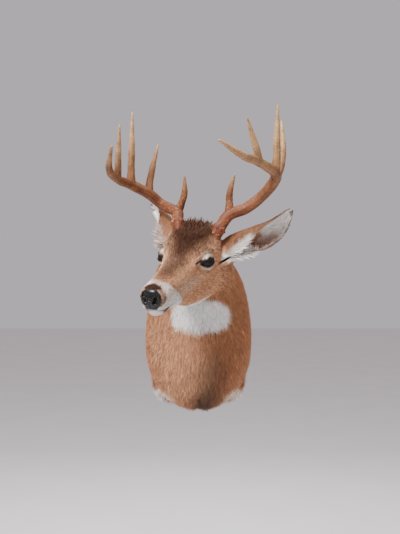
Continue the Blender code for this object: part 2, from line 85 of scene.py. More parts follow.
# place (back, side, up), reach, push (forward, outward, up), the same on both sides
headForms = (
    ((194, 52, 54), (22, 16, 12), (0, 2, 5)),  # brow
    ((156, 40, 16), (14, 12, 12), (0, -4, 0)),  # tear pit
    ((196, 62, -2), (34, 14, 10), (0, 4, 0)),  # cheekbone
    ((230, 60, -42), (26, 22, 26), (0, 5, 0)),  # jaw muscle
    ((150, 40, -30), (26, 20, 18), (0, -3, 0)),  # hollow ahead of it
    ((256, 50, 84), (20, 18, 18), (0, 5, 5)),  # bone under the antler
    ((24, 27, 0), (12, 10, 14), (0, 3, 0)),  # behind the nostril
    ((4, 17, 2), (6, 5, 7), (-5, 0, 0)),  # nostril
    ((110, 0, 46), (40, 14, 20), (0, 0, 2)),  # bridge
    ((222, 0, 90), (26, 22, 20), (0, 0, -4)),  # dip between the brows
)
# place (side, y, z), reach, push (outward, y, z)
bodyForms = (
    ((84, -58, -190), (24, 26, 28), (0, 8, 16)),  # where the leg would begin
    ((0, -120, -205), (9, 70, 40), (0, 3, 6)),  # crease down the brisket
)

eye = {
    "place": (193, 50.5, 27),
    "radius": 16.5,
    "look": (0.40, 0.90, 0.08),
    "along": (-0.86, 0.48, 0.12),
    "lidOver": 1.9,
    "lidBlend": 2.0,
    "slit": (19.5, 17.0, 8.2, 6.6),  # reach forward, back, up and down
    "reach": 30.0,
    "snap": 0.75,
    "upperFold": 1.1,
    "lowerFold": 0.6,
    "foldAt": (4.6, 1.0),  # distance from the slit, width
    "outerFold": 0.5,
    "outerFoldAt": (8.5, 1.2),
    "plump": 0.7,
    "plumpAt": (1.6, 1.5),
    "floorDepth": 2.2,
}


def headAxes():
    yaw, pitch, roll = (math.radians(pose[key]) for key in ("yaw", "pitch", "roll"))
    turn = np.array([
        [math.cos(yaw), -math.sin(yaw), 0],
        [math.sin(yaw), math.cos(yaw), 0],
        [0, 0, 1],
    ])
    facing = np.array([[0, 1, 0], [-1, 0, 0], [0, 0, 1]])
    nod = np.array([
        [math.cos(pitch), 0, math.sin(pitch)],
        [0, 1, 0],
        [-math.sin(pitch), 0, math.cos(pitch)],
    ])
    lean = np.array([
        [1, 0, 0],
        [0, math.cos(roll), -math.sin(roll)],
        [0, math.sin(roll), math.cos(roll)],
    ])
    return turn @ facing @ nod @ lean


headFrame = headAxes()


def fromHead(points):
    return np.asarray(points, float) @ headFrame.T + np.array(pose["noseTip"])


def toHead(points):
    return (np.asarray(points, float) - np.array(pose["noseTip"])) @ headFrame


def unit(vector):
    vector = np.asarray(vector, float)
    return vector / np.maximum(np.linalg.norm(vector, axis=-1, keepdims=True), 1e-12)


def smoothStep(low, high, value):
    share = np.clip((value - low) / (high - low), 0, 1)
    return share * share * (3 - 2 * share)


def smoothBetween(rows, at):
    rows = np.asarray(rows, float)
    slopes = np.gradient(rows, axis=0)
    at = np.atleast_1d(np.asarray(at, float))
    first = np.clip(np.floor(at).astype(int), 0, len(rows) - 2)
    u = (at - first)[:, None]
    a, b = rows[first], rows[first + 1]
    ma, mb = slopes[first], slopes[first + 1]
    return (
        (2 * u**3 - 3 * u**2 + 1) * a
        + (u**3 - 2 * u**2 + u) * ma
        + (3 * u**2 - 2 * u**3) * b
        + (u**3 - u**2) * mb
    )


def sectionRows():
    rows = []
    for by, bz, ty, tz, bx, tx, half, wide, low, high, turn in bodySections:
        side = unit((1 - turn) * np.array([1.0, 0, 0]) + turn * headFrame[:, 1])
        rows.append([bx, by, bz, tx, ty, tz, *side, half, wide, low, high])
    for bottomBack, bottomUp, topBack, topUp, half, wide, low, high in headSections:
        bottom = fromHead((-bottomBack, 0, bottomUp))
        top = fromHead((-topBack, 0, topUp))
        rows.append([*bottom, *top, *headFrame[:, 1], half, wide, low, high])
    return np.array(rows)


sections = sectionRows()
lastSection = len(sections) - 1


def ring(row, count):
    # up the left side from the bottom, then down the right side
    bottom, top, side = row[0:3], row[3:6], row[6:9]
    half, wide, low, high = row[9:13]
    angle = np.linspace(0, math.pi, 241)
    power = np.where(angle < math.pi / 2, low, high)
    across = half * np.abs(np.sin(angle)) ** (2 / power)
    cosine = np.abs(np.cos(angle)) ** (2 / power)
    rise = np.where(angle < math.pi / 2, wide - wide * cosine, wide + (1 - wide) * cosine)
    steps = np.hypot(np.diff(across), np.diff(rise) * np.linalg.norm(top - bottom))
    length = np.concatenate([[0], np.cumsum(steps)])
    share = np.linspace(0, length[-1], count // 2 + 1)
    across = np.interp(share, length, across)
    rise = np.interp(share, length, rise)
    left = bottom + rise[:, None] * (top - bottom) + across[:, None] * side
    right = bottom + rise[:, None] * (top - bottom) - across[:, None] * side
    return np.concatenate([left, right[-2:0:-1]])


def pushed(points, forms, mirrorAxis):
    moved = points.copy()
    for place, reach, push in forms:
        for sign in (1, -1) if place[mirrorAxis] else (1,):
            flip = np.ones(3)
            flip[mirrorAxis] = sign
            away = (points - np.array(place) * flip) / np.array(reach)
            weight = np.exp(-(away**2).sum(axis=-1))
            moved += weight[..., None] * np.array(push) * flip
    return moved


def eyeFrame(sign):
    # centre of an eye in the head's frame, and its axes: back along the slit, up, outward
    back, side, up = eye["place"]
    centre = np.array([-back, side * sign, up])
    flip = np.array([1, sign, 1])
    look = unit(np.array(eye["look"]) * flip)
    slitWay = np.array(eye["along"]) * flip
    along = unit(slitWay - look * np.dot(look, slitWay))
    over = unit(np.cross(along, look) * -sign)
    return centre, np.array([along, over, look])

skin = {
    "around": 256,
    # first section, last section, spacing of the rings between them
    "stretches": (
        (0, 10, 5.0),
        (10, 14, 3.0),
        (14, 18.5, 1.4),
        (18.5, 21, 2.0),
        (21, 23, 1.4),
        (23, 27, 0.9),
    ),
    # section, how far under the coat's tips the skin lies
    "coatDepth": (
        (0, 5.0), (6, 5.5), (9, 5.0), (11, 4.0), (13, 3.0), (15, 2.0),
        (18, 1.6), (21, 1.2), (24, 0.8), (25.5, 0.2), (27, 0.0),
    ),
    "noseCap": (0.9, 0.8, 0.7, 0.6, 0.5, 0.4, 0.3, 0.2, 0.1, 0.02),
    "noseDome": 2.5,
    "unevenness": 0.5,
    "mapRight": 0.78,
}
board = {
    "thickness": 19.0,
    "inset": 14.0,
    "edgeRound": 3.5,
    "seatGap": 0.8,
    "seatPast": 1.2,
    "foldDepth": 1.4,
    "wallGap": 0.4,
    "hideTurn": 0.975,
    "rawhide": (206, 182, 150),
    "grain": ((0.3, (150, 112, 74)), (0.5, (190, 152, 108)), (0.72, (214, 182, 138))),
}
mouth = {
    "line": ((0, -30.0), (10, -31.0), (30, -34.0), (52, -36.0), (85, -36.5), (118, -37.0)),  # back, up
    "corner": 108.0,
    "depth": 2.4,
    "width": 0.95,
    "under": (0.3, -3.5),  # from the upper lip to the lower
    "jawTuck": 0.9,
    "jawIn": 1.6,
    "chinBack": 2.6,
    "lipRoll": (2.8, 1.8),  # height over the line, width
    "lipHeight": 0.7,
}
nostril = {
    # the slit's course: back, side, up
    "course": ((3, 10.5, -12), (3, 12, -5), (4, 15.5, 1), (7, 20, 0), (9.5, 22.5, -6)),
    "width": 3.1,
    "depth": 8.0,
    "rim": 1.1,
    "philtrumHalf": 0.9,
    "philtrumDepth": 1.1,
}


def profile(keys, at):
    keys = np.array(keys, float)
    return np.interp(at, keys[:, 0], keys[:, 1])


def bell(value, middle, width):
    return np.exp(-(((value - middle) / width) ** 2))


def ringPlaces():
    places = [0.0]
    for first, last, spacing in skin["stretches"]:
        fine = np.linspace(first, last, 300)
        rows = smoothBetween(sections, fine)
        high = 0.25 * rows[:, 0:3] + 0.75 * rows[:, 3:6]
        travel = np.linalg.norm(np.diff(high, axis=0), axis=1)
        length = np.concatenate([[0], np.cumsum(travel)])
        count = max(2, round(length[-1] / spacing) + 1)
        places.extend(np.interp(np.linspace(0, length[-1], count), length, fine)[1:])
    return np.array(places)


def gridNormals(grid):
    along = np.gradient(grid, axis=0)
    around = np.roll(grid, -1, axis=1) - np.roll(grid, 1, axis=1)
    normal = unit(np.cross(around, along))
    outward = grid - grid.mean(axis=1, keepdims=True)
    return normal * np.sign((normal * outward).sum())


def ripple(points, size, seed, octaves=5):
    # a smooth, repeatable unevenness between about -1 and 1
    draw = np.random.default_rng(seed)
    total = np.zeros(points.shape[:-1])
    for _ in range(octaves):
        way = unit(draw.normal(size=3)) * draw.uniform(0.6, 1.5) * 2 * math.pi / size
        total += np.sin(points @ way + draw.uniform(0, 2 * math.pi))
    return total / octaves * 1.6


def distanceToCourse(points, course):
    # nearest distance to a course of straight steps, and where along it from 0 to 1
    course = np.asarray(course, float)
    nearest = np.full(points.shape[:-1], 1e9)
    where = np.zeros(points.shape[:-1])
    for i in range(len(course) - 1):
        step = course[i + 1] - course[i]
        share = np.clip(((points - course[i]) @ step) / (step @ step), 0, 1)
        away = np.linalg.norm(points - course[i] - share[..., None] * step, axis=-1)
        closer = away < nearest
        nearest = np.where(closer, away, nearest)
        where = np.where(closer, (i + share) / (len(course) - 1), where)
    return nearest, where


def slitHeight(a):
    # the open eye's upper and lower edge at a place along the slit
    front, back, above, below = eye["slit"]
    share = np.clip(np.where(a > 0, a / back, -a / front), 0, 1)
    bow = (1 - share**2) ** 0.7
    return above * bow, below * bow


def slitOutline(count=160):
    front, back, above, below = eye["slit"]
    angle = np.linspace(0, 2 * math.pi, count, endpoint=False)
    reach = np.where(np.cos(angle) > 0, back, front)
    height = np.where(np.sin(angle) > 0, above, below) * np.abs(np.sin(angle)) ** 0.4
    return np.stack([reach * np.cos(angle), height * np.sin(angle)], axis=1)


def slitDistance(a, b):
    # signed distance to the edge of the open eye (negative inside), and the nearest edge point
    outline = slitOutline()
    away = np.hypot(a[:, None] - outline[:, 0], b[:, None] - outline[:, 1])
    index = away.argmin(axis=1)
    upper, lower = slitHeight(a)
    inside = (b < upper) & (b > -lower)
    distance = away[np.arange(len(a)), index]
    return np.where(inside, -distance, distance), outline[index]


def withEyelids(onHead):
    # skin over each ball, with the slit cut to a crisp edge and its floor behind the ball
    points = onHead.reshape(-1, 3).copy()
    gap = np.full(len(points), 99.0)
    height = np.zeros(len(points))
    lidRadius = eye["radius"] + eye["lidOver"]
    for sign in (1, -1):
        centre, axes = eyeFrame(sign)
        away = points - centre
        size = np.linalg.norm(away, axis=1)
        wanted = 0.5 * (size + lidRadius + np.sqrt((size - lidRadius) ** 2 + eye["lidBlend"] ** 2))
        points = centre + away * (wanted / size)[:, None]
        local = (points - centre) @ axes.T
        near = np.flatnonzero((local[:, 2] > 0) & (np.abs(local[:, :2]).max(axis=1) < eye["reach"]))
        local = local[near]
        radius = np.linalg.norm(local, axis=1)
        distance, edge = slitDistance(local[:, 0], local[:, 1])
        snap = np.abs(distance) < eye["snap"]
        local[snap, :2] = edge[snap]
        distance[snap] = 0
        fold = np.where(local[:, 1] > 0, eye["upperFold"], eye["lowerFold"]) * bell(distance, *eye["foldAt"])
        fold += eye["outerFold"] * bell(distance, *eye["outerFoldAt"])
        plump = eye["plump"] * bell(distance, *eye["plumpAt"])
        radius = radius + np.where(distance >= 0, plump - fold, 0)
        radius = np.where(distance < -0.05, eye["radius"] - eye["floorDepth"], radius)
        local[:, 2] = np.sqrt(np.maximum(radius**2 - local[:, 0] ** 2 - local[:, 1] ** 2, 9))
        points[near] = local @ axes + centre
        gap[near] = distance
        height[near] = local[:, 1]
    shape = onHead.shape[:-1]
    return points.reshape(onHead.shape), gap.reshape(shape), height.reshape(shape)


def makeSkinGrid():
    places = ringPlaces()
    count = skin["around"]
    grid = np.array([ring(row, count) for row in smoothBetween(sections, places)])
    grid = pushed(grid, bodyForms, 0)
    onHead = pushed(toHead(grid), [
        ((-back, side, up), reach, push) for (back, side, up), reach, push in headForms
    ], 1)
    grid = fromHead(onHead)
    depth = profile(skin["coatDepth"], places)[:, None, None]
    grid = grid - gridNormals(grid) * depth
    grid += gridNormals(grid) * (
        skin["unevenness"] * np.clip(depth[..., 0] / 2, 0.25, 1) * ripple(grid, 70, 3)
    )[..., None]

    onHead = toHead(grid)
    last = onHead[-1]
    middle = last.mean(axis=0)
    cap = []
    for share in skin["noseCap"]:
        flat = middle + (last - middle) * share
        flat[:, 0] += skin["noseDome"] * (1 - share**2)
        cap.append(flat)
    onHead = np.concatenate([onHead, cap])
    places = np.concatenate([places, lastSection + 1 - np.array(skin["noseCap"])])

    # lips: the lower jaw is tucked in under the upper lip, with a groove between them
    back, side, up = -onHead[..., 0], onHead[..., 1], onHead[..., 2]
    # side and up move with onHead, so the height over the line is taken afresh at each step
    lineUp = profile(mouth["line"], back)
    corner = mouth["corner"]
    under = smoothStep(*mouth["under"], up - lineUp) * smoothStep(corner + 4, corner - 30, back)
    onHead[..., 1] -= np.sign(side) * np.minimum(np.abs(side), mouth["jawTuck"]) * under * mouth["jawIn"]
    onHead[..., 0] -= mouth["chinBack"] * under * smoothStep(26, 8, back)
    normals = gridNormals(onHead)
    groove = bell(up - lineUp, 0, mouth["width"]) * smoothStep(corner, corner - 10, back)
    onHead -= normals * (mouth["depth"] * groove)[..., None]
    lipRoll = bell(up - lineUp, *mouth["lipRoll"]) * smoothStep(corner, corner - 25, back)
    onHead += normals * (mouth["lipHeight"] * lipRoll)[..., None]

    # nostrils: a comma-shaped pit with a raised rim, and the groove below the nose
    pit = np.zeros(onHead.shape[:-1])
    for sign in (1, -1):
        course = np.array(nostril["course"], float) * (-1, sign, 1)
        away, where = distanceToCourse(onHead, course)
        width = nostril["width"] * (1.25 - 0.75 * where)
        dip = np.exp(-((away / width) ** 4))
        lip = np.exp(-(((away - width * 1.6) / 1.6) ** 2))
        onHead += normals * (nostril["rim"] * lip - nostril["depth"] * (1 - 0.4 * where) * dip)[..., None]
        pit = np.maximum(pit, dip)
    philtrum = bell(side, 0, nostril["philtrumHalf"]) * smoothStep(-6, -14, up)
    philtrum = philtrum * smoothStep(14, 8, back) * smoothStep(-33, -29, up)
    onHead[..., 0] -= nostril["philtrumDepth"] * philtrum

    onHead, slit, slitUp = withEyelids(onHead)
    marks = {"pit": pit, "groove": groove, "slit": slit, "slitUp": slitUp}
    return fromHead(onHead), places, marks


skinGrid, skinPlaces, skinMarks = makeSkinGrid()
print("skin grid", skinGrid.shape)

tones = {  # sRGB, 0 to 255
    "neck": (166, 114, 80),
    "nape": (120, 88, 66),
    # the chest's greyish brown, also used as painted shade where the brisket turns under
    "chestAndShade": (72, 50, 40),
    "cheek": (202, 152, 116),
    "forehead": (58, 29, 14),
    "bridge": (108, 78, 60),
    "white": (255, 250, 244),
    "muzzleWhite": (226, 208, 196),
    "cream": (226, 204, 182),
    "pad": (6, 6, 7),
    "padEdge": (66, 44, 36),
    "nostrilSide": (158, 130, 112),
    "dark": (34, 25, 21),
    "earBack": (158, 112, 82),
    "earInner": (252, 244, 236),
    "earSkin": (200, 146, 112),
}


def linear(tone):
    share = np.array(tone, float) / 255
    return np.where(share <= 0.04045, share / 12.92, ((share + 0.055) / 1.055) ** 2.4)


toneOf = {name: linear(value) for name, value in tones.items()}


def blob(points, centre, reach, soft=0.35, power=2.0):
    away = np.abs((points - np.array(centre, float)) / np.array(reach, float)) ** power
    distance = away.sum(axis=-1) ** (1 / power)
    return 1 - smoothStep(1 - soft, 1 + soft, distance)


def laidOver(colour, tone, share):
    return colour + (toneOf[tone] - colour) * np.clip(share, 0, 1)[..., None]


def patchesOver(colour, place, patches):
    for tone, centre, reach, soft, share in patches:
        colour = laidOver(colour, tone, blob(place, centre, reach, soft) * share)
    return colour


def strokesOver(colour, place, strokes):
    for tone, course, width, share in strokes:
        away, _ = distanceToCourse(place, course)
        colour = laidOver(colour, tone, bell(away, 0, width) * share)
    return colour


# Places on the head are back, side and up, alike on both sides. Places on the body are x, y and z.
markingsAndShade = {
    "wander": ((26, (11, 12, 13), 2.2), (7, (14, 15, 16), 0.9)),  # size, seeds, strength
    "behindHead": (250, 300),
    "nape": {"up": (120, 215), "half": 95, "share": 0.75},
    "shoulder": {"out": (-110, 0), "share": 0.35},
    # the chest's greyish brown, deepened toward the bottom and front as painted shade where the brisket turns
    # under
    "chestAndShade": {"up": (0, -110), "out": (-60, -140), "middle": 14, "half": 48, "share": 0.95},
    "cheekShare": 0.85,
    # tone, centre, reach, softness, share
    "head": (
        ("cheek", (262, 60, -20), (60, 60, 60), 0.6, 0.4),
        ("bridge", (120, 0, 42), (95, 27, 30), 0.45, 0.95),
        ("bridge", (205, 30, 62), (46, 26, 26), 0.5, 0.8),
        ("forehead", (238, 0, 84), (66, 56, 34), 0.35, 0.95),
        ("forehead", (185, 0, 62), (52, 27, 24), 0.6, 0.85),
        ("nape", (292, 30, 50), (32, 44, 40), 0.5, 0.7),
        ("dark", (270, 60, 56), (13, 16, 14), 0.6, 0.65),
    ),
    "legPocketsAndShade": (
        ("cream", (88, -112, -180), (26, 62, 17), 0.5, 0.9),
        ("white", (100, -40, -190), (26, 50, 18), 0.5, 0.6),
        # painted shade beneath the leg pockets and along the lower edges of the brisket, in the forehead tone
        ("forehead", (86, -90, -210), (34, 80, 13), 0.6, 0.8),
    ),
    # tone, course, width, share
    "cheekStrokes": (
        ("padEdge", ((290, 64, 0), (300, 66, -25), (307, 66, -48)), 2.2, 0.55),
        ("padEdge", ((263, 52, -40), (266, 53, -44)), 3.0, 0.5),
    ),
    "eyeStrokes": (
        ("dark", ((166, 46, 27), (158, 41, 18), (150, 39, 11)), 2.2, 0.6),
        ("dark", ((172, 38, 47), (181, 37, 55), (192, 43, 59)), 1.9, 0.6),
    ),
    "throat": {"centre": (6, 34), "reach": (67, 37), "soft": 0.1, "power": 2.7},
    "jawSections": (10.6, 11.6),
    # painted shade down the crease of the brisket
    "crease": {"x": 6, "half": 3.2, "up": (-148, -186), "out": (-40, -90), "share": 0.85},
    "speckles": ((3.4, 31, 1.0), (1.9, 32, 0.8)),  # size, seed, strength
    "speckleAt": ((215, 0, 74), (78, 64, 50), 0.5),
    "speckleShares": (0.1, 0.42, 0.08),  # everywhere, more on the forehead, more on the head
}
muzzle = {
    # up, and how far back the white band ends, where it starts, and where the bare pad ends
    "rear": ((-60, 120), (-38, 108), (-10, 74), (10, 50), (23, 39), (40, 36)),
    "front": ((-60, 0), (-26, 4), (-14, 17), (4, 20), (16, 20), (26, 24)),
    "padBack": ((-33, 6.0), (-20, 9.0), (-8, 11.0), (4, 11.0), (12, 9.5), (17, 6.0)),
    "padBottom": (-31.5, -29.5),
    "padSide": (24.5, 22),
    "pale": ((115, 40, -14), (52, 34, 20), 0.6),
    "lip": ((42, -4.0), (17, 7.0), 0.4),
    "seamHalf": 2.2,
}
eyeMarks = {
    "ringAbove": 10.5,
    "ringBelow": 12.0,
    "ringHalf": 28,
    "rimAbove": (6.4, 4.2),
    "rimBelow": (4.4, 2.4),
    "duct": ((172, 46, 33), (163, 41, 31), (157, 39, 28)),
    "ductEdge": (4.2, 2.2),
}


def bodyColours(colour, spot, behind):
    nape, shoulder, chestAndShade = markingsAndShade["nape"], markingsAndShade["shoulder"], markingsAndShade["chestAndShade"]
    x, y, z = np.moveaxis(spot, -1, 0)
    onNape = behind * smoothStep(*nape["up"], z) * bell(x, 0, nape["half"]) * nape["share"]
    colour = laidOver(colour, "nape", onNape)
    colour = laidOver(colour, "nape", smoothStep(*shoulder["out"], y) * shoulder["share"])
    # the chest's greyish brown, strongest low and forward, where it is partly painted shade
    chestAndShadeShare = smoothStep(*chestAndShade["up"], z) * bell(x, chestAndShade["middle"], chestAndShade["half"])
    return laidOver(colour, "chestAndShade", chestAndShadeShare * smoothStep(*chestAndShade["out"], y) * chestAndShade["share"])


def throatColours(colour, spot, place, places):
    # white under the jaw, and the patch on the throat
    back, _, up = np.moveaxis(place, -1, 0)
    jaw = smoothStep(-70, -84, up + 0.02 * back) * smoothStep(285, 262, back)
    jaw = np.maximum(jaw, smoothStep(-38, -46, up) * smoothStep(130, 90, back))
    jaw = jaw * smoothStep(*markingsAndShade["jawSections"], places)[:, None]
    colour = laidOver(colour, "white", jaw * 0.9)
    throat = markingsAndShade["throat"]
    patch = blob(spot[..., [0, 2]], throat["centre"], throat["reach"], throat["soft"], throat["power"])
    patch = patch * smoothStep(-120, -160, spot[..., 1]) * smoothStep(225, 250, back)
    return laidOver(colour, "white", patch)


def muzzleColours(colour, place, pit):
    # a white band that slants down to the mouth, white lips and chin; also the bare pad
    back, wide, up = np.moveaxis(place, -1, 0)
    rear, front = profile(muzzle["rear"], up), profile(muzzle["front"], up)
    band = smoothStep(rear + 7, rear - 4, back) * smoothStep(front - 3, front + 3, back)
    colour = laidOver(colour, "padEdge", bell(back - rear, 5, 5) * smoothStep(12, 24, wide) * 0.3)
    pale = blob(place, *muzzle["pale"]) * 0.4 * smoothStep(rear, rear + 6, back)
    colour = laidOver(colour, "cream", pale)
    band = band * (1 - 0.45 * smoothStep(15, 5, wide) * smoothStep(8, 20, up))
    colour = laidOver(colour, "muzzleWhite", band * 0.93)
    colour = laidOver(colour, "white", band * smoothStep(-4, -30, up) * 0.7)
    near = smoothStep(front + 2, front - 2, back)
    colour = laidOver(colour, "nostrilSide", near * smoothStep(-24, -16, up))
    colour = laidOver(colour, "padEdge", near * smoothStep(9, 13, up))
    padBack = profile(muzzle["padBack"], up)
    pad = smoothStep(padBack + 1.2, padBack - 1.2, back) * smoothStep(*muzzle["padBottom"], up)
    pad = pad * smoothStep(*muzzle["padSide"], wide)
    colour = laidOver(colour, "pad", pad)
    colour = laidOver(colour, "dark", pit * 0.95)
    below = up - profile(mouth["line"], back)
    colour = laidOver(colour, "dark", blob(np.stack([back, below], axis=-1), *muzzle["lip"]) * 0.9)
    corner = mouth["corner"]
    seam = bell(below, 0, muzzle["seamHalf"]) * smoothStep(corner + 2, corner - 10, back)
    return laidOver(colour, "dark", seam * 0.85), pad


def eyeColours(colour, place, slit, slitUp):
    # a pale ring, dark marks before and above, black rims
    upper = slitUp > 0
    along = (place - np.array(eye["place"], float)) @ unit(np.array(eye["along"]) * (-1, 1, 1))
    ringWide = np.where(upper, eyeMarks["ringAbove"], eyeMarks["ringBelow"])
    ringWide = ringWide * np.clip(1 - ((along + 2) / eyeMarks["ringHalf"]) ** 2, 0.12, 1)
    pale = smoothStep(ringWide + 4, ringWide - 6, slit) * smoothStep(1.8, 4.5, slit)
    colour = laidOver(colour, "cream", smoothStep(ringWide + 9, ringWide - 2, slit) * 0.5)
    colour = laidOver(colour, "muzzleWhite", pale * 0.8)
    colour = strokesOver(colour, place, markingsAndShade["eyeStrokes"])
    outer, inner = (
        np.where(upper, above, below) for above, below in zip(eyeMarks["rimAbove"], eyeMarks["rimBelow"])
    )
    away, _ = distanceToCourse(place, eyeMarks["duct"])
    rim = np.maximum(smoothStep(outer, inner, slit), smoothStep(*eyeMarks["ductEdge"], away))
    return laidOver(colour, "dark", rim)


def coatColours(room, places, slit, slitUp, pit):
    # the buck's markings and painted shade on the chest and brisket, worked out from places on its body; also
    # how bare the nose is
    spot = room + sum(
        np.stack([ripple(room, size, seed) for seed in seeds], axis=-1) * strength
        for size, seeds, strength in markingsAndShade["wander"]
    )
    place = toHead(spot) * (-1, 1, 1)
    place[..., 1] = np.abs(place[..., 1])
    behind = smoothStep(*markingsAndShade["behindHead"], place[..., 0])
    colour = np.broadcast_to(toneOf["neck"], room.shape).copy()
    colour = bodyColours(colour, spot, behind)
    colour = laidOver(colour, "cheek", (1 - behind) * markingsAndShade["cheekShare"])
    colour = patchesOver(colour, place, markingsAndShade["head"])
    colour = throatColours(colour, spot, place, places)
    colour = strokesOver(colour, place, markingsAndShade["cheekStrokes"])
    colour, pad = muzzleColours(colour, place, pit)
    colour = eyeColours(colour, place, slit, slitUp)

    # pale pockets where the legs would begin, with painted shade beneath them, and painted shade down the
    # crease of the brisket
    bothSides = spot.copy()
    bothSides[..., 0] = np.abs(spot[..., 0])
    colour = patchesOver(colour, bothSides, markingsAndShade["legPocketsAndShade"])
    # painted shade down the crease of the brisket
    crease = markingsAndShade["crease"]
    dip = bell(spot[..., 0], crease["x"], crease["half"]) * smoothStep(*crease["up"], spot[..., 2])
    colour = laidOver(colour, "dark", dip * smoothStep(*crease["out"], spot[..., 1]) * crease["share"])
    speckle = sum(ripple(room, size, seed) * strength for size, seed, strength in markingsAndShade["speckles"])
    everywhere, forehead, head = markingsAndShade["speckleShares"]
    share = everywhere + forehead * blob(place, *markingsAndShade["speckleAt"]) + head * (1 - behind)
    colour = np.clip(colour * (1 + share * speckle)[..., None], 0.002, 0.97)
    return colour, np.clip(np.maximum(pad, pit), 0, 1)


class Value:
    # a socket that can be used in sums
    def __init__(self, finish, socket):
        self.finish = finish
        self.socket = socket

    def math(self, operation, other):
        return self.finish.node("ShaderNodeMath", {"operation": operation}, {0: self, 1: other})

    def __add__(self, other):
        return self.math("ADD", other)

    def __mul__(self, other):
        return self.math("MULTIPLY", other)

    def __rsub__(self, other):
        return (self * -1) + other

    __radd__ = __add__
    __rmul__ = __mul__


class Finish:
    # a material being put together
    def __init__(self, name, **fixed):
        self.material = bpy.data.materials.new(name)
        self.material.use_nodes = True
        self.tree = self.material.node_tree
        self.shader = self.tree.nodes["Principled BSDF"]
        for key, value in fixed.items():
            self.shader.inputs[key.replace("_", " ")].default_value = value

    def node(self, kind, settings=None, inputs=None, output=0):
        made = self.tree.nodes.new(kind)
        for key, value in (settings or {}).items():
            if key == "stops":
                self.setStops(made.color_ramp, value)
            else:
                setattr(made, key, value)
        for key, value in (inputs or {}).items():
            if isinstance(value, Value):
                self.tree.links.new(value.socket, made.inputs[key])
            else:
                made.inputs[key].default_value = value
        return Value(self, made.outputs[output])

    def setStops(self, ramp, stops):
        while len(ramp.elements) < len(stops):
            ramp.elements.new(1.0)
        for element, (place, colour) in zip(ramp.elements, stops):
            element.position = place
            element.color = (*colour, 1)

    def attribute(self, name, output="Color"):
        return self.node("ShaderNodeAttribute", {"attribute_name": name}, output=output)

    def noise(self, place, scale, detail=3.0, roughness=0.55):
        return self.node(
            "ShaderNodeTexNoise", None,
            {"Vector": place, "Scale": scale, "Detail": detail, "Roughness": roughness},
        )

    def between(self, low, high, value):
        return self.node("ShaderNodeMapRange", {"interpolation_type": "SMOOTHSTEP"}, {
            "Value": value, "From Min": low, "From Max": high,
        })

    def mixed(self, share, one, other, blend="MIX"):
        return self.node("ShaderNodeMix", {"data_type": "RGBA", "blend_type": blend}, {
            0: share, 6: one, 7: other,
        }, output=2)

    def ramp(self, value, stops):
        return self.node("ShaderNodeValToRGB", {"stops": stops}, {0: value})

    def scaled(self, place, factors):
        return self.node("ShaderNodeVectorMath", {"operation": "MULTIPLY"}, {0: place, 1: factors})

    def bump(self, height, distance, strength=1.0):
        return self.node("ShaderNodeBump", None, {
            "Height": height, "Distance": distance, "Strength": strength,
        })

    def give(self, **links):
        for key, value in links.items():
            self.tree.links.new(value.socket, self.shader.inputs[key.replace("_", " ")])
        return self.material

    def place(self):
        return self.node("ShaderNodeTexCoord", None, None, "Object")


def makeSkinFinish():
    finish = Finish("hide", Coat_Roughness=0.25, Specular_IOR_Level=0.2)
    coat = finish.attribute("coat")
    bare = finish.node("ShaderNodeSeparateColor", None, {0: finish.attribute("kind")})
    place = finish.place()
    fine = finish.noise(place, 900.0, 2.0)
    soft = finish.noise(place, 60.0, 3.0)
    colour = finish.mixed(1.0, coat, fine * 0.6 + soft * 0.4 + 0.5, "MULTIPLY")
    pebbles = finish.node("ShaderNodeTexVoronoi", {"feature": "DISTANCE_TO_EDGE"}, {
        "Vector": place, "Scale": 400.0,
    })
    height = finish.between(0.0, 0.22, pebbles) * bare + fine * (1 - bare) * 0.5
    return finish.give(
        Base_Color=colour,
        Roughness=(1 - bare) * 0.4 + fine * 0.15 + 0.34,
        Coat_Weight=bare * 0.3,
        Normal=finish.bump(height, 0.0012, 1.0),
    )


def makeCoatFinish():
    finish = Finish("coat", Specular_IOR_Level=0.18)
    coat = finish.attribute("coat")
    soft = finish.noise(finish.place(), 140.0, 2.0)
    return finish.give(
        Base_Color=finish.mixed(1.0, coat, soft * 0.4 + 0.8, "MULTIPLY"),
        Roughness=soft * 0.3 + 0.55,
    )


def pieceFrom(name, vertices, faces, material, bakeMap=None, colours=None, smooth=True):
    # vertices in millimetres; faces as one array of corner numbers, all of one length
    vertices = np.ascontiguousarray(np.asarray(vertices) * mm, dtype=np.float32)
    faces = np.ascontiguousarray(faces, dtype=np.int32)
    mesh = bpy.data.meshes.new(name)
    mesh.vertices.add(len(vertices))
    mesh.vertices.foreach_set("co", vertices.ravel())
    mesh.loops.add(faces.size)
    mesh.loops.foreach_set("vertex_index", faces.ravel())
    mesh.polygons.add(len(faces))
    starts = np.arange(0, faces.size, faces.shape[1], dtype=np.int32)
    mesh.polygons.foreach_set("loop_start", starts)
    mesh.update(calc_edges=True)
    if bakeMap is not None:
        layer = mesh.uv_layers.new(name="OFBake")
        layer.data.foreach_set("uv", np.ascontiguousarray(bakeMap, dtype=np.float32).ravel())
    for key, (domain, values) in (colours or {}).items():
        layer = mesh.color_attributes.new(key, "FLOAT_COLOR", domain)
        full = np.ones((len(values), 4), np.float32)
        full[:, : values.shape[1]] = values
        layer.data.foreach_set("color", full.ravel())
    mesh.polygons.foreach_set("use_smooth", np.full(len(faces), smooth))
    mesh.materials.append(material)
    piece = bpy.data.objects.new(name, mesh)
    bpy.context.scene.collection.objects.link(piece)
    return piece


def gridFaces(rows, around):
    i, j = np.meshgrid(np.arange(rows - 1), np.arange(around), indexing="ij")
    k = (j + 1) % around
    corners = (i * around + j, i * around + k, (i + 1) * around + k, (i + 1) * around + j)
    return np.stack(corners, axis=-1).reshape(-1, 4)


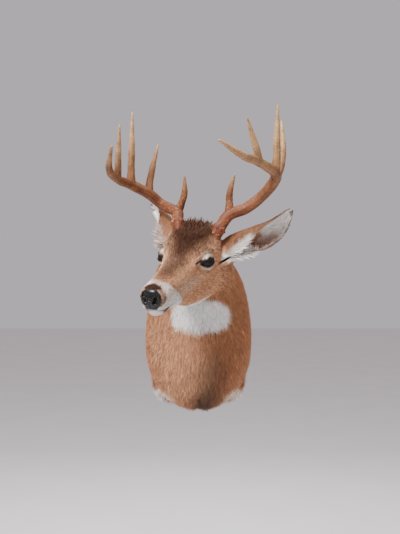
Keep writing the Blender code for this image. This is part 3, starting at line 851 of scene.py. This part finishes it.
def gridMap(shares, around, left, right):
    # the grid's own unwrap: around it from left to right, along it by share
    i, j = np.meshgrid(np.arange(len(shares) - 1), np.arange(around), indexing="ij")
    across = left + (right - left) * np.stack([j, j + 1, j + 1, j], axis=-1) / around
    up = np.stack([shares[i], shares[i], shares[i + 1], shares[i + 1]], axis=-1)
    return np.stack([across, up], axis=-1).reshape(-1, 2)


def alongShares(grid):
    steps = np.linalg.norm(np.diff(grid, axis=0), axis=-1).mean(axis=1)
    length = np.concatenate([[0], np.cumsum(steps)])
    return length / length[-1]


def faceOutward(mesh, caps=()):
    # closes the loops of corners in caps, then turns every face outward
    work = bmesh.new()
    work.from_mesh(mesh)
    work.verts.ensure_lookup_table()
    for cap in caps:
        work.faces.new([work.verts[corner] for corner in cap])
    bmesh.ops.recalc_face_normals(work, faces=work.faces)
    work.to_mesh(mesh)
    work.free()


def closedGrid(name, grid, material, bakeMap, colours):
    rows, around = grid.shape[:2]
    piece = pieceFrom(name, grid.reshape(-1, 3), gridFaces(rows, around), material, bakeMap, colours)
    last = (rows - 1) * around
    faceOutward(piece.data, (range(around), range(last, last + around)))
    return piece

ears = {
    "left": {
        "base": (74, -320, 184), "tip": (222, -298, 277),
        "openTo": (0.37, -0.83, -0.39), "bow": (12, 0, -15),
    },
    "right": {
        "base": (-58, -272, 203), "tip": (-124, -140, 299),
        "openTo": (-0.80, -0.34, -0.20), "bow": (-1, 0, -3),
    },
    # share of the length; radius; half of the angle wrapped; thickness
    "sections": (
        (-0.28, 22, 172, 7.0), (0.00, 29, 170, 6.5), (0.12, 29, 160, 6.0),
        (0.27, 30, 138, 5.5), (0.40, 31, 112, 5.0), (0.55, 30, 92, 4.6),
        (0.72, 28, 78, 4.0), (0.86, 22, 70, 3.4), (0.95, 14, 64, 2.8), (1.00, 5, 60, 2.2),
    ),
    "rings": 84,
    "across": 40,
    "coatDepth": 1.0,
    "thinning": 0.45,
    "bendPower": 1.6,
    "ridges": 0.9,
}


def makeEarGrid(side):
    # loops that run out along the back of the ear, and back along the inside
    spec = ears[side]
    base, tip = np.array(spec["base"], float), np.array(spec["tip"], float)
    length = np.linalg.norm(tip - base)
    along = unit(tip - base)
    openTo = np.array(spec["openTo"])
    openTo = unit(openTo - along * np.dot(along, openTo))
    across = np.cross(along, openTo)
    keys = np.array(ears["sections"])
    shares = keys[0, 0] + (1 - keys[0, 0]) * (1 - (1 - np.linspace(0, 1, ears["rings"])) ** 1.25)
    values = smoothBetween(keys, np.interp(shares, keys[:, 0], np.arange(len(keys))))
    count = ears["across"]
    spread = np.linspace(-1, 1, count)
    loops, outward = [], []
    for share, (_, radius, wrap, thick) in zip(shares, values):
        bend = math.sin(math.pi * min(max(share, 0), 1) ** ears["bendPower"])
        middle = base + along * length * share + np.array(spec["bow"]) * bend
        angle = np.radians(spread * wrap)
        spoke = -np.cos(angle)[:, None] * openTo + np.sin(angle)[:, None] * across
        depth = ears["coatDepth"]
        thin = np.maximum(thick * (1 - ears["thinning"] * np.abs(spread) ** 3) - 2 * depth, 1.0)
        ridge = ears["ridges"] * np.cos(angle * 6) * smoothStep(0.15, 0.4, share)
        ridge = ridge * smoothStep(1.0, 0.6, np.abs(spread)) * smoothStep(1.0, 0.75, share)
        outer = middle + spoke * (radius - depth)
        inner = middle + spoke * np.maximum(radius - depth - thin - ridge, 0.4)[:, None]
        loops.append(np.concatenate([outer, inner[::-1]]))
        outward.append(np.concatenate([spoke, -spoke[::-1]]))
    inside = np.concatenate([np.zeros(count), np.ones(count)])
    spreads = np.concatenate([spread, spread[::-1]])
    return {
        "grid": np.array(loops), "normal": np.array(outward), "shares": shares,
        "inside": np.broadcast_to(inside, (len(shares), 2 * count)),
        "spread": np.broadcast_to(spreads, (len(shares), 2 * count)),
    }


def earColours(ear, side):
    grid, inside, spread = ear["grid"], ear["inside"], ear["spread"]
    share = np.broadcast_to(ear["shares"][:, None], inside.shape)
    share = share + ripple(grid, 16, 21) * 0.05 + ripple(grid, 5, 22) * 0.02
    spread = spread + ripple(grid, 16, 23) * 0.05
    rear = spread if side == "left" else -spread  # +1 at one edge of the ear
    spot = np.stack([share, rear], axis=-1)
    colour = np.broadcast_to(toneOf["earBack"], grid.shape).copy()
    colour = laidOver(colour, "nape", smoothStep(0.45, 1.0, share) * 0.6)
    inner = np.broadcast_to(toneOf["earSkin"], grid.shape).copy()
    inner = laidOver(inner, "earInner", smoothStep(0.38, 0.52, share + 0.12 * rear) * 0.95)
    inner = laidOver(inner, "earBack", blob(spot, (0.5, 0.75), (0.18, 0.4), 0.5) * 0.7)
    inner = laidOver(inner, "white", blob(spot, (0.2, -0.75), (0.2, 0.4), 0.5) * 0.9)
    colour = colour + (inner - colour) * inside[..., None]
    fringe = smoothStep(0.78, 0.95, np.abs(spread)) * smoothStep(0.36, 0.2, share)
    fringe = fringe * smoothStep(-0.2, -0.08, share)
    colour = laidOver(colour, "white", fringe * (0.85 if side == "left" else 0.4))
    edge = smoothStep(0.90, 0.99, np.abs(spread)) * smoothStep(0.3, 0.7, share)
    colour = laidOver(colour, "dark", edge * np.where(rear > 0, 0.8, 0.35))
    return laidOver(colour, "dark", smoothStep(0.93, 0.99, share) * 0.8)


def sampled(values, i, j, u, v, around):
    k = (j + 1) % around
    u, v = u.reshape(-1, *[1] * (values.ndim - 2)), v.reshape(-1, *[1] * (values.ndim - 2))
    low = values[i, j] * (1 - u) + values[i, k] * u
    high = values[i + 1, j] * (1 - u) + values[i + 1, k] * u
    return low * (1 - v) + high * v


tuft = {
    "lengths": (0.65, 1.2),
    "widths": (0.7, 1.25),
    "lifts": (0.5, 1.4),
    "curl": 0.10,
    "rootDepth": 0.35,
    "ridgeAt": 0.4,
    "ridgeHeight": 0.34,  # of its width
    "brightness": 0.13,
    "darkFleck": (0.08, 0.5),  # share of the tufts, brightness
    "paleFleck": (0.05, 1.6),
    "shade": (0.74, 0.74, 0.98, 1.12),  # from root to tip
    "mapHalf": 0.0015,
    "wallGap": 0.4,
}


def makeTufts(name, grid, normals, lie, colour, size, seed, contrast=1.0, first=0, last=None):
    # size holds, over the grid: length, width, lift in degrees, tufts per square mm, unruliness
    draw = np.random.default_rng(seed)
    last = len(grid) if last is None else last
    keep = slice(first, last)
    grid, normals, lie, colour = grid[keep], normals[keep], lie[keep], colour[keep]
    size = {key: value[keep] for key, value in size.items()}
    around = grid.shape[1]
    nextOne = np.roll(grid, -1, axis=1)
    one = grid[1:] - grid[:-1]
    other = nextOne[:-1] - grid[:-1]
    area = np.linalg.norm(np.cross(one, other), axis=-1)
    weight = (area * 0.5 * (size["density"][1:] + size["density"][:-1])).ravel()
    total = np.cumsum(weight)
    count = int(total[-1])
    ticks = (np.arange(count) + draw.uniform(0, 1, count)) * total[-1] / count
    cell = np.minimum(np.searchsorted(total, ticks), len(total) - 1)
    i, j = cell // around, cell % around
    u, v = draw.uniform(0, 1, count), draw.uniform(0, 1, count)
    root = sampled(grid, i, j, u, v, around)
    normal = unit(sampled(normals, i, j, u, v, around))
    way = sampled(lie, i, j, u, v, around)
    tint = sampled(colour, i, j, u, v, around)
    length, width, lift, unruly = (
        sampled(size[key], i, j, u, v, around) for key in ("length", "width", "lift", "unruly")
    )
    way = unit(way - normal * (way * normal).sum(axis=-1, keepdims=True))
    side = np.cross(normal, way)
    turn = draw.normal(0, 1, count) * unruly
    way = way * np.cos(turn)[:, None] + side * np.sin(turn)[:, None]
    side = np.cross(normal, way)
    length = length * draw.uniform(*tuft["lengths"], count)
    width = width * draw.uniform(*tuft["widths"], count)
    lift = np.radians(lift * draw.uniform(*tuft["lifts"], count))
    curl = draw.normal(0, tuft["curl"], count) * length
    half = side * (width / 2)[:, None]
    sunk = root - normal * tuft["rootDepth"]
    out = length * tuft["ridgeAt"]
    ridge = root + way * out[:, None]
    ridge = ridge + normal * (out * np.sin(lift) + width * tuft["ridgeHeight"])[:, None]
    ridge += side * (curl * 0.2)[:, None]
    tip = root + way * (length * np.cos(lift))[:, None] + normal * (length * np.sin(lift))[:, None]
    tip += side * curl[:, None]
    vertices = np.stack([sunk - half, sunk + half, ridge, tip], axis=1).reshape(-1, 3)
    wall = 0.3 * np.tile([0, 0, 1, 1], count) - tuft["wallGap"]
    vertices[:, 1] = np.minimum(vertices[:, 1], wall)
    start = (np.arange(count) * 4)[:, None]
    pattern = np.array([[0, 3, 2], [1, 2, 3], [0, 2, 1], [0, 1, 3]])
    faces = (start[:, None] + pattern[None]).reshape(-1, 3)
    shares = alongShares(grid)
    atU = (j + u) / around * 0.99 + 0.005
    atV = (shares[i] + (shares[i + 1] - shares[i]) * v) * 0.99 + 0.005
    half = tuft["mapHalf"]
    patch = np.array([[-half, -half], [half, -half], [0.0, half / 3], [0.0, half]])
    spots = np.stack([atU, atV], axis=-1)[:, None] + patch[None]
    bakeMap = spots.reshape(-1, 2)[faces.ravel()]
    bright = 1 + contrast * draw.normal(0, tuft["brightness"], count)
    fleck = draw.uniform(0, 1, count)
    often, darkness = tuft["darkFleck"]
    bright = bright * np.where(fleck < often * contrast, darkness, 1.0)
    often, paleness = tuft["paleFleck"]
    bright = bright * np.where(fleck > 1 - often * contrast, paleness, 1.0)
    tint = np.clip(tint * bright[:, None], 0.004, 0.95)
    shade = np.array(tuft["shade"])
    shades = np.clip(tint[:, None] * shade[None, :, None], 0, 0.96).reshape(-1, 3)
    piece = pieceFrom(name, vertices, faces, coatFinish, bakeMap, {"coat": ("POINT", shades)}, smooth=False)
    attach(piece, "root")
    print(name, count, "tufts")
    return piece

coat = {
    # section, length, width, lift, share of the skin covered
    "bySection": (
        (0, 20, 1.35, 13, 6.5), (5, 20, 1.3, 13, 6.5), (8, 18, 1.15, 13, 6.5),
        (10, 14, 1.0, 14, 6.5), (12, 12, 1.15, 16, 5.5), (14, 10, 1.1, 16, 5.0),
        (16, 8.5, 1.05, 15, 4.6), (19, 7, 0.9, 14, 4.6), (21, 6, 0.7, 12, 5.0),
        (23, 4.5, 0.55, 11, 5.0), (25, 3.2, 0.46, 10, 4.0), (27, 2.5, 0.42, 9, 3.5),
    ),
    "unruly": 0.16,
    # added on the crest between the antlers, and on the brisket
    "crestAt": ((252, 0, 92), (38, 42, 26), 0.4),
    "crest": {"length": 12, "width": 0.3, "lift": 26, "unruly": 0.45},
    "brisket": {"length": 6, "unruly": 0.1},
    "contrasts": (1.3, 2.4),  # body, head
    # name, first and last section of each zone of tufts
    "zones": (
        ("coatShoulders", 0, 4.2), ("coatChest", 4.2, 7.4), ("coatNeck", 7.4, 11.5),
        ("coatHead", 11.5, 16.2), ("coatFace", 16.2, 20.4), ("coatMuzzle", 20.4, 27.0),
    ),
    "earLength": 7.0,
    "earWidth": 0.55,
    "earDensity": 1.15,
}
skinFinish = makeSkinFinish()
coatFinish = makeCoatFinish()


def backRings(first):
    # the hide turned over the board's edge, and down its side
    outline = ring(sections[0], skin["around"])
    middle = outline.mean(axis=0)
    half = sections[0][9]
    hole = middle + (outline - middle) * (1 - (board["inset"] - board["seatGap"]) / half)
    outer = middle + (first - middle) * board["hideTurn"]
    flat = -board["wallGap"]
    rings = []
    for loop, y in (
        (hole, -board["thickness"] - board["seatPast"]), (hole, -board["foldDepth"]),
        (0.5 * (hole + outer), flat), (outer, flat),
    ):
        loop = loop.copy()
        loop[:, 1] = y
        rings.append(loop)
    return np.array(rings)


def makeSkin():
    colour, bare = coatColours(
        skinGrid, skinPlaces, skinMarks["slit"], skinMarks["slitUp"], skinMarks["pit"]
    )
    body = skinGrid.copy()
    body[0, :, 1] = -board["edgeRound"]
    turned = backRings(body[0])
    grid = np.concatenate([turned, body])
    rows, around = grid.shape[:2]
    fullColour = np.concatenate([np.broadcast_to(linear(board["rawhide"]), turned.shape), colour])
    fullBare = np.concatenate([np.zeros(turned.shape[:2]), bare])
    faces = gridFaces(rows, around)
    corner = fullColour.reshape(-1, 3)[faces.ravel()]
    kind = np.repeat(fullBare.reshape(-1, 1), 3, axis=1)[faces.ravel()]
    bakeMap = gridMap(alongShares(grid), around, 0.0, skin["mapRight"])
    hide = closedGrid("hide", grid, skinFinish, bakeMap, {
        "coat": ("CORNER", corner), "kind": ("CORNER", kind),
    })
    return hide, colour, bare


def makeEarPiece(side, left):
    ear = makeEarGrid(side)
    colour = earColours(ear, side)
    grid = ear["grid"]
    rows, around = grid.shape[:2]
    faces = gridFaces(rows, around)
    caps = []
    for start in (0, (rows - 1) * around):
        j = np.arange(around // 2 - 1)
        far = start + around - 1 - j
        caps.append(np.stack([start + j, start + j + 1, far - 1, far], axis=-1))
    faces = np.concatenate([faces, *caps])
    corner = colour.reshape(-1, 3)[faces.ravel()]
    bakeMap = gridMap((ear["shares"] + 0.28) / 1.28, around, left, left + 0.1)
    capMap = np.tile([left + 0.105, 0.0], (len(faces.ravel()) - len(bakeMap), 1))
    piece = pieceFrom("earShell", grid.reshape(-1, 3), faces, skinFinish, np.concatenate([bakeMap, capMap]), {
        "coat": ("CORNER", corner), "kind": ("CORNER", np.zeros((len(corner), 3))),
    })
    faceOutward(piece.data)
    return piece, ear, colour


def joinedTo(piece, others):
    for other in others:
        union = piece.modifiers.new("union", "BOOLEAN")
        union.object = other
        union.operation = "UNION"
        union.solver = "EXACT"
    graph = bpy.context.evaluated_depsgraph_get()
    made = bpy.data.meshes.new_from_object(piece.evaluated_get(graph))
    piece.modifiers.clear()
    old = piece.data
    piece.data = made
    bpy.data.meshes.remove(old)
    for other in others:
        bpy.data.objects.remove(other)
    return piece


hide, skinColour, skinBare = makeSkin()
earShells = {side: makeEarPiece(side, left) for side, left in (("left", 0.79), ("right", 0.895))}
joinedTo(hide, [earShells[side][0] for side in earShells])
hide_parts("shoulders", "neck", "head", "nose", "chin", "ear_left", "ear_right")
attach(hide, "root")
print("hide", len(hide.data.polygons), "faces")


def sizesFrom(places, onHead):
    keys = np.array(coat["bySection"], float)
    shape = skinGrid.shape[:2]
    length, width, lift, cover = (
        np.broadcast_to(np.interp(places, keys[:, 0], column)[:, None], shape).copy() for column in keys.T[1:]
    )
    unruly = np.full(shape, coat["unruly"])
    slit = skinMarks["slit"]
    byEye = smoothStep(16, 5, slit)
    length = length * (1 - 0.62 * byEye)
    width = width * (1 - 0.25 * byEye)
    lift = lift * (1 - 0.3 * byEye)
    back, side, up = -onHead[..., 0], onHead[..., 1], onHead[..., 2]
    crest = blob(np.stack([back, side, up], axis=-1), *coat["crestAt"])
    length = length + coat["crest"]["length"] * crest
    width = width + coat["crest"]["width"] * crest
    lift = lift + coat["crest"]["lift"] * crest
    unruly = unruly + coat["crest"]["unruly"] * crest
    brisket = smoothStep(-120, -190, skinGrid[..., 2]) * smoothStep(-20, -60, skinGrid[..., 1])
    length = length + coat["brisket"]["length"] * brisket
    unruly = unruly + coat["brisket"]["unruly"] * brisket
    density = cover / (length * width)
    density = density * smoothStep(0.45, 0.2, skinBare) * smoothStep(3.4, 4.6, slit)
    density = density * smoothStep(0.55, 0.3, skinMarks["groove"] * smoothStep(2, 6, back))
    return {"length": length, "width": width, "lift": lift, "density": density, "unruly": unruly}


skinNormals = gridNormals(skinGrid)
skinLie = -unit(np.gradient(skinGrid, axis=0))
skinSizes = sizesFrom(skinPlaces, toHead(skinGrid))
for number, (name, low, high) in enumerate(coat["zones"]):
    first, last = np.searchsorted(skinPlaces, (low, high))
    contrast = coat["contrasts"][low >= 11]
    makeTufts(
        name, skinGrid, skinNormals, skinLie, skinColour, skinSizes, 100 + number, contrast, first, last + 1,
    )
for number, side in enumerate(earShells):
    _, ear, colour = earShells[side]
    share = np.broadcast_to(ear["shares"][:, None], ear["inside"].shape)
    rim = smoothStep(0.8, 1.0, np.abs(ear["spread"]))
    inner = ear["inside"]
    base = smoothStep(0.34, 0.1, share)
    length = coat["earLength"] + inner * 5 + rim * 2 + base * (4 + 10 * rim)
    width = np.full(length.shape, coat["earWidth"]) + base * 0.2
    earSizes = {
        "length": length * smoothStep(1.15, 0.8, share), "width": width,
        "lift": 12 + 10 * inner + 4 * rim + 22 * rim * base,
        "density": coat["earDensity"] * (1 - 0.35 * inner) * smoothStep(-0.12, -0.02, share),
        "unruly": 0.2 + 0.12 * inner,
    }
    lie = unit(np.gradient(ear["grid"], axis=0))
    makeTufts(f"coatEar{side.title()}", ear["grid"], ear["normal"], lie, colour, earSizes, 200 + number)

eyeLook = {
    "iris": (24, 13, 8),
    "pupil": (6, 5, 5),
    "rim": (14, 9, 7),
    "white": (40, 26, 18),
    "pupilSize": (8.2, 4.6),
    "irisSize": 12.5,
    "lidTube": 0.95,
    "lidTubeRadius": 17.9,
    "lidSteps": 180,
    "lidSides": 10,
    "rings": 64,
    "around": 96,
}


def makeEyes():
    finish = Finish("glassEye", Roughness=0.4, Specular_IOR_Level=0.05, Coat_Weight=0.4, Coat_Roughness=0.02)
    place = finish.place()
    streaks = finish.noise(place, 700.0, 3.0)
    shade = streaks * 0.5 + 0.75
    eyeFinish = finish.give(Base_Color=finish.mixed(1.0, finish.attribute("coat"), shade, "MULTIPLY"))
    lidFinish = Finish("lidSkin", Base_Color=(0.006, 0.004, 0.004, 1), Specular_IOR_Level=0.12)
    damp = lidFinish.noise(lidFinish.place(), 500.0)
    lidMaterial = lidFinish.give(Roughness=damp * 0.3 + 0.4, Normal=lidFinish.bump(damp, 0.0003))
    for side, sign in (("Left", 1), ("Right", -1)):
        centre, axes = eyeFrame(sign)
        rows, around = eyeLook["rings"], eyeLook["around"]
        polar = np.linspace(0.01, math.pi - 0.01, rows)
        turn = np.linspace(0, 2 * math.pi, around, endpoint=False)
        a = np.sin(polar)[:, None] * np.cos(turn)
        b = np.sin(polar)[:, None] * np.sin(turn)
        c = np.cos(polar)[:, None] * np.ones(around)
        local = np.stack([a, b, c], axis=-1) * eye["radius"]
        grid = fromHead(local @ axes + centre)
        wide, high = eyeLook["pupilSize"]
        reach = np.hypot(local[..., 0], local[..., 1])
        colour = np.broadcast_to(linear(eyeLook["white"]), grid.shape).copy()
        ahead = local[..., 2] > 0
        iris = smoothStep(eyeLook["irisSize"] + 0.6, eyeLook["irisSize"] - 0.6, reach) * ahead
        edge = bell(reach, eyeLook["irisSize"], 1.4) * ahead
        pupil = np.hypot(local[..., 0] / wide, local[..., 1] / high)
        pupil = smoothStep(1.1, 0.9, pupil) * ahead
        for share, tone in ((iris, "iris"), (edge, "rim"), (pupil, "pupil")):
            colour += (linear(eyeLook[tone]) - colour) * share[..., None]
        faces = gridFaces(rows, around)
        corner = colour.reshape(-1, 3)[faces.ravel()]
        ball = closedGrid(
            f"eye{side}", grid, eyeFinish, gridMap(np.linspace(0, 1, rows), around, 0, 1),
            {"coat": ("CORNER", corner)},
        )
        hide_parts(f"eye_{side.lower()}")
        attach(ball, "root")

        outline = slitOutline(eyeLook["lidSteps"])
        radius = eyeLook["lidTubeRadius"]
        up = np.sqrt(np.maximum(radius**2 - (outline**2).sum(axis=1), 9))
        path = np.stack([outline[:, 0], outline[:, 1], up], axis=1)
        onward = unit(np.roll(path, -1, axis=0) - np.roll(path, 1, axis=0))
        outward = unit(path)
        sideways = np.cross(onward, outward)
        angle = np.linspace(0, 2 * math.pi, eyeLook["lidSides"], endpoint=False)[None, :, None]
        spoke = np.cos(angle) * outward[:, None] + np.sin(angle) * sideways[:, None]
        tube = fromHead((path[:, None] + spoke * eyeLook["lidTube"]) @ axes + centre)
        count, sides = tube.shape[:2]
        i, j = np.meshgrid(np.arange(count), np.arange(sides), indexing="ij")
        i1, j1 = (i + 1) % count, (j + 1) % sides
        loop = np.stack([i * sides + j, i * sides + j1, i1 * sides + j1, i1 * sides + j], axis=-1)
        lid = pieceFrom(f"lidRim{side}", tube.reshape(-1, 3), loop.reshape(-1, 4), lidMaterial)
        faceOutward(lid.data)
        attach(lid, "root")
    print("eyes and lids")


makeEyes()

antlers = {
    # back, side, up, radius in the head's frame
    "beams": {
        "left": (
            (245, 45, 66, 15.0), (254, 54, 82, 15.0), (262, 60, 94, 13.5), (281, 73, 116, 13.5),
            (301, 108, 131, 13.0), (312, 140, 159, 12.5), (305, 169, 195, 13.0),
            (264, 184, 225, 12.0), (208, 165, 258, 10.0), (147, 149, 281, 8.0), (86, 119, 321, 2.5),
        ),
        "right": (
            (238, 34, 72, 15.0), (249, 42, 88, 15.0), (260, 48, 98, 13.5), (283, 58, 109, 13.5),
            (304, 88, 112, 13.0), (314, 116, 119, 12.5), (297, 138, 144, 13.0),
            (254, 163, 173, 12.0), (193, 166, 198, 10.0), (136, 156, 233, 8.0), (92, 124, 294, 2.5),
        ),
    },
    "tines": {
        "left": (
            ((281, 73, 116, 11.5), (290, 69, 142, 8.5), (292, 70, 170, 7.0), (299, 79, 209, 1.8)),
            ((305, 169, 195, 11.0), (322, 180, 228, 8.5), (333, 180, 271, 7.0), (351, 170, 327, 1.8)),
            ((264, 184, 225, 11.0), (265, 187, 262, 8.5), (265, 186, 304, 7.5), (266, 186, 373, 1.8)),
            ((208, 165, 258, 9.5), (194, 164, 286, 7.5), (181, 160, 313, 6.5), (153, 155, 359, 1.8)),
        ),
        "right": (
            ((283, 58, 109, 11.5), (289, 49, 132, 8.5), (292, 43, 157, 7.0), (297, 45, 195, 1.8)),
            ((297, 138, 144, 11.0), (313, 142, 172, 8.5), (329, 141, 204, 7.0), (352, 136, 256, 1.8)),
            ((254, 163, 173, 11.0), (259, 164, 212, 8.5), (261, 162, 259, 7.5), (267, 161, 341, 1.8)),
            ((193, 166, 198, 9.5), (186, 160, 230, 7.5), (179, 154, 264, 6.5), (165, 142, 326, 1.8)),
        ),
    },
    "sides": 56,
    "ringSpacing": 1.5,
    "burr": 3.4,
    "pearls": 0.7,
    "grooves": 0.35,
    "tipRound": 4.0,
    "roughFade": 130.0,
    "burrAt": 27.0,
    "burrHalf": 4.0,
    "burrKnobs": 13,
    "tineRoughness": (0.9, 0.35, 0.3, 0.25),
    "paleAbove": 330.0,
    "base": (96, 43, 20),
    "beam": (112, 70, 41),
    "tip": (190, 152, 108),
    "pearl": (186, 128, 82),
    "groove": (62, 34, 20),
}


def roundTube(keys, sides, spacing):
    # untwisted rings round a smooth path; also how far along, and each point's angle
    fine = np.linspace(0, len(keys) - 1, 600)
    path = smoothBetween(keys, fine)[:, :3]
    travel = np.concatenate([[0], np.cumsum(np.linalg.norm(np.diff(path, axis=0), axis=1))])
    count = int(travel[-1] / spacing)
    places = np.linspace(0, travel[-1], count)
    at = np.interp(places, travel, fine)
    flip = np.array([-1, 1, 1])
    rows = smoothBetween(keys, at)
    rows[:, 3] *= np.sqrt(np.clip((travel[-1] - places) / antlers["tipRound"] + 0.02, 0, 1))
    ahead = smoothBetween(keys, np.minimum(at + 0.01, len(keys) - 1))[:, :3] * flip
    behind = smoothBetween(keys, np.maximum(at - 0.01, 0))[:, :3] * flip
    along = unit(fromHead(ahead) - fromHead(behind))
    angle = np.linspace(0, 2 * math.pi, sides, endpoint=False)
    across = np.array([1.0, 0, 0])
    spokes = []
    for onward in along:
        across = unit(across - onward * np.dot(across, onward))
        over = np.cross(onward, across)
        spokes.append(np.cos(angle)[:, None] * across + np.sin(angle)[:, None] * over)
    return fromHead(rows[:, :3] * flip), np.array(spokes), rows[:, 3], places, angle


def makeTube(name, keys, material, seed, roughness, burr, left, right):
    # one beam or tine with its grooves, pearls and colours
    centre, spokes, radius, travel, angle = roundTube(keys, antlers["sides"], antlers["ringSpacing"])
    smooth = centre[:, None] + spokes * radius[:, None, None]
    strength = roughness * np.exp(-travel / antlers["roughFade"])[:, None]
    thin = smoothStep(2.0, 7.0, radius)[:, None]
    turn = angle[None, :] + 0.25 * ripple(smooth, 60, seed)
    groove = 0.5 * np.cos(turn * 9) + 0.5 * np.cos(turn * 14 + 2.0 * ripple(smooth, 40, seed + 1))
    pearl = np.clip(ripple(smooth, 6.0, seed + 2, 7), 0, 2) ** 2
    swell = ripple(smooth, 30, seed + 3) * 0.5
    rise = -antlers["grooves"] * (0.35 + strength) * np.clip(groove, 0, 1) * thin
    rise = rise + (antlers["pearls"] * strength * pearl + swell * 0.6) * thin
    if burr:
        collar = bell(travel, burr, antlers["burrHalf"])[:, None]
        knobs = 0.65 + 0.35 * np.cos(angle[None, :] * antlers["burrKnobs"] + 2 * ripple(smooth, 18, seed + 4))
        rise = rise + antlers["burr"] * collar * knobs
    grid = centre[:, None] + spokes * (radius[:, None] + rise)[..., None]
    share = toHead(smooth)[..., 2] / antlers["paleAbove"] + 0.06 * ripple(smooth, 35, seed + 5)
    if not burr:
        share = share + 0.14 * (travel / travel[-1])[:, None]
    colour = np.broadcast_to(linear(antlers["base"]), grid.shape).copy()
    colour += (linear(antlers["beam"]) - colour) * smoothStep(0.22, 0.62, share)[..., None]
    colour += (linear(antlers["tip"]) - colour) * (smoothStep(0.55, 1.15, share) * 0.9)[..., None]
    dirt = np.clip(groove * 0.8 * (0.4 + strength), 0, 0.7)
    colour += (linear(antlers["groove"]) - colour) * dirt[..., None]
    colour += (linear(antlers["pearl"]) - colour) * np.clip(pearl * strength * 0.8, 0, 0.75)[..., None]
    faces = gridFaces(*grid.shape[:2])
    corner = colour.reshape(-1, 3)[faces.ravel()]
    bakeMap = gridMap(travel / travel[-1], antlers["sides"], left, right)
    return closedGrid(name, grid, material, bakeMap, {"coat": ("CORNER", corner)})


def makeAntlers():
    finish = Finish("antlerBone", Specular_IOR_Level=0.3)
    place = finish.place()
    grain = finish.noise(place, 420.0, 4.0, 0.6)
    stain = finish.noise(place, 45.0, 3.0)
    colour = finish.mixed(1.0, finish.attribute("coat"), grain * 1.5 + stain * 1.5 + -0.5, "MULTIPLY")
    material = finish.give(
        Base_Color=colour, Roughness=stain * 0.3 + grain * 0.2 + 0.4,
        Normal=finish.bump(grain, 0.0006, 0.7),
    )
    beamNodes = ("base", "lower_beam", "middle_beam", "upper_beam", "beam_tip")
    for number, side in enumerate(("left", "right")):
        flip = np.array([1, 1 if side == "left" else -1, 1, 1])
        beam = makeTube(
            f"antler{side.title()}", np.array(antlers["beams"][side], float) * flip,
            material, 300 + 20 * number, 1.0, antlers["burrAt"], 0.0, 0.5,
        )
        others = []
        for index, tine in enumerate(antlers["tines"][side]):
            others.append(makeTube(
                f"tine{index}", np.array(tine, float) * flip, material, 400 + 20 * number + 3 * index,
                antlers["tineRoughness"][index], 0, 0.52 + 0.12 * index, 0.62 + 0.12 * index,
            ))
        joinedTo(beam, others)
        nodes = [f"antler_{side}_{piece}" for piece in beamNodes]
        nodes += [f"antler_{side}_tine_{index}" for index in range(1, 5)]
        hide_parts(*nodes)
        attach(beam, "root")
        print("antler", side, len(beam.data.polygons), "faces")


makeAntlers()


def finishBoard():
    finish = Finish("plywood")
    place = finish.scaled(finish.place(), (18.0, 18.0, 1.6))
    grain = finish.noise(place, 9.0, 6.0, 0.62)
    figure = finish.noise(place, 2.4, 3.0)
    colour = finish.ramp(grain * 0.6 + figure * 0.4, [
        (place, tuple(linear(tone))) for place, tone in board["grain"]
    ])
    material = finish.give(
        Base_Color=colour, Roughness=grain * 0.3 + 0.5, Normal=finish.bump(grain, 0.0006, 0.6),
    )
    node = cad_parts["backboard"]
    for slot in node.material_slots:
        slot.material = material


finishBoard()

studio = {
    "floorDown": -1.05,
    "floorReach": 14.0,
    "floorTone": (244, 240, 240),
    "air": (214, 207, 213),
    "airStrength": 0.8,
    # place, power, size
    "lamps": (
        ((-1.2, -2.2, 2.3), 230.0, 0.8),
        ((1.9, -2.0, 0.9), 8.0, 1.8),
        ((0.3, -0.3, 2.4), 50.0, 1.2),
        ((0.0, 2.2, 1.2), 30.0, 1.6),
    ),
    "aim": (0.0, -0.28, 0.12),
}


def makeStudio():
    finish = Finish("floor", Roughness=0.9)
    soft = finish.noise(finish.place(), 3.0)
    tone = tuple(linear(studio["floorTone"]))
    material = finish.give(Base_Color=finish.mixed(soft * 0.25, (*tone, 1), (0.5, 0.49, 0.49, 1)))
    mesh = bpy.data.meshes.new("floor")
    reach = studio["floorReach"]
    low = studio["floorDown"]
    corners = [(-reach, -reach, low), (reach, -reach, low), (reach, reach, low), (-reach, reach, low)]
    mesh.from_pydata(corners, [], [(0, 1, 2, 3)])
    mesh.materials.append(material)
    floor = bpy.data.objects.new("floor", mesh)
    bpy.context.scene.collection.objects.link(floor)
    world = bpy.data.worlds.new("studio air")
    world.use_nodes = True
    background = world.node_tree.nodes["Background"]
    background.inputs["Color"].default_value = (*linear(studio["air"]), 1)
    background.inputs["Strength"].default_value = studio["airStrength"]
    bpy.context.scene.world = world
    for number, (place, power, size) in enumerate(studio["lamps"]):
        lamp = bpy.data.lights.new(f"lamp{number}", "AREA")
        lamp.energy = power
        lamp.size = size
        holder = bpy.data.objects.new(f"lamp{number}", lamp)
        holder.location = place
        away = np.array(place) - np.array(studio["aim"])
        pitch = math.acos(away[2] / np.linalg.norm(away))
        holder.rotation_euler = (pitch, 0, math.atan2(away[1], away[0]) + math.pi / 2)
        bpy.context.scene.collection.objects.link(holder)


makeStudio()

view = {"place": (0.004, -2.258, 0.145), "lens": 835 / 534 * 36.0, "sensor": 36.0}
camera = bpy.data.cameras.new("camera")
camera.lens = view["lens"]
camera.sensor_width = view["sensor"]
cameraObject = bpy.data.objects.new("camera", camera)
cameraObject.location = view["place"]
cameraObject.rotation_euler = (math.pi / 2, 0, 0)
bpy.context.scene.collection.objects.link(cameraObject)
bpy.context.scene.camera = cameraObject
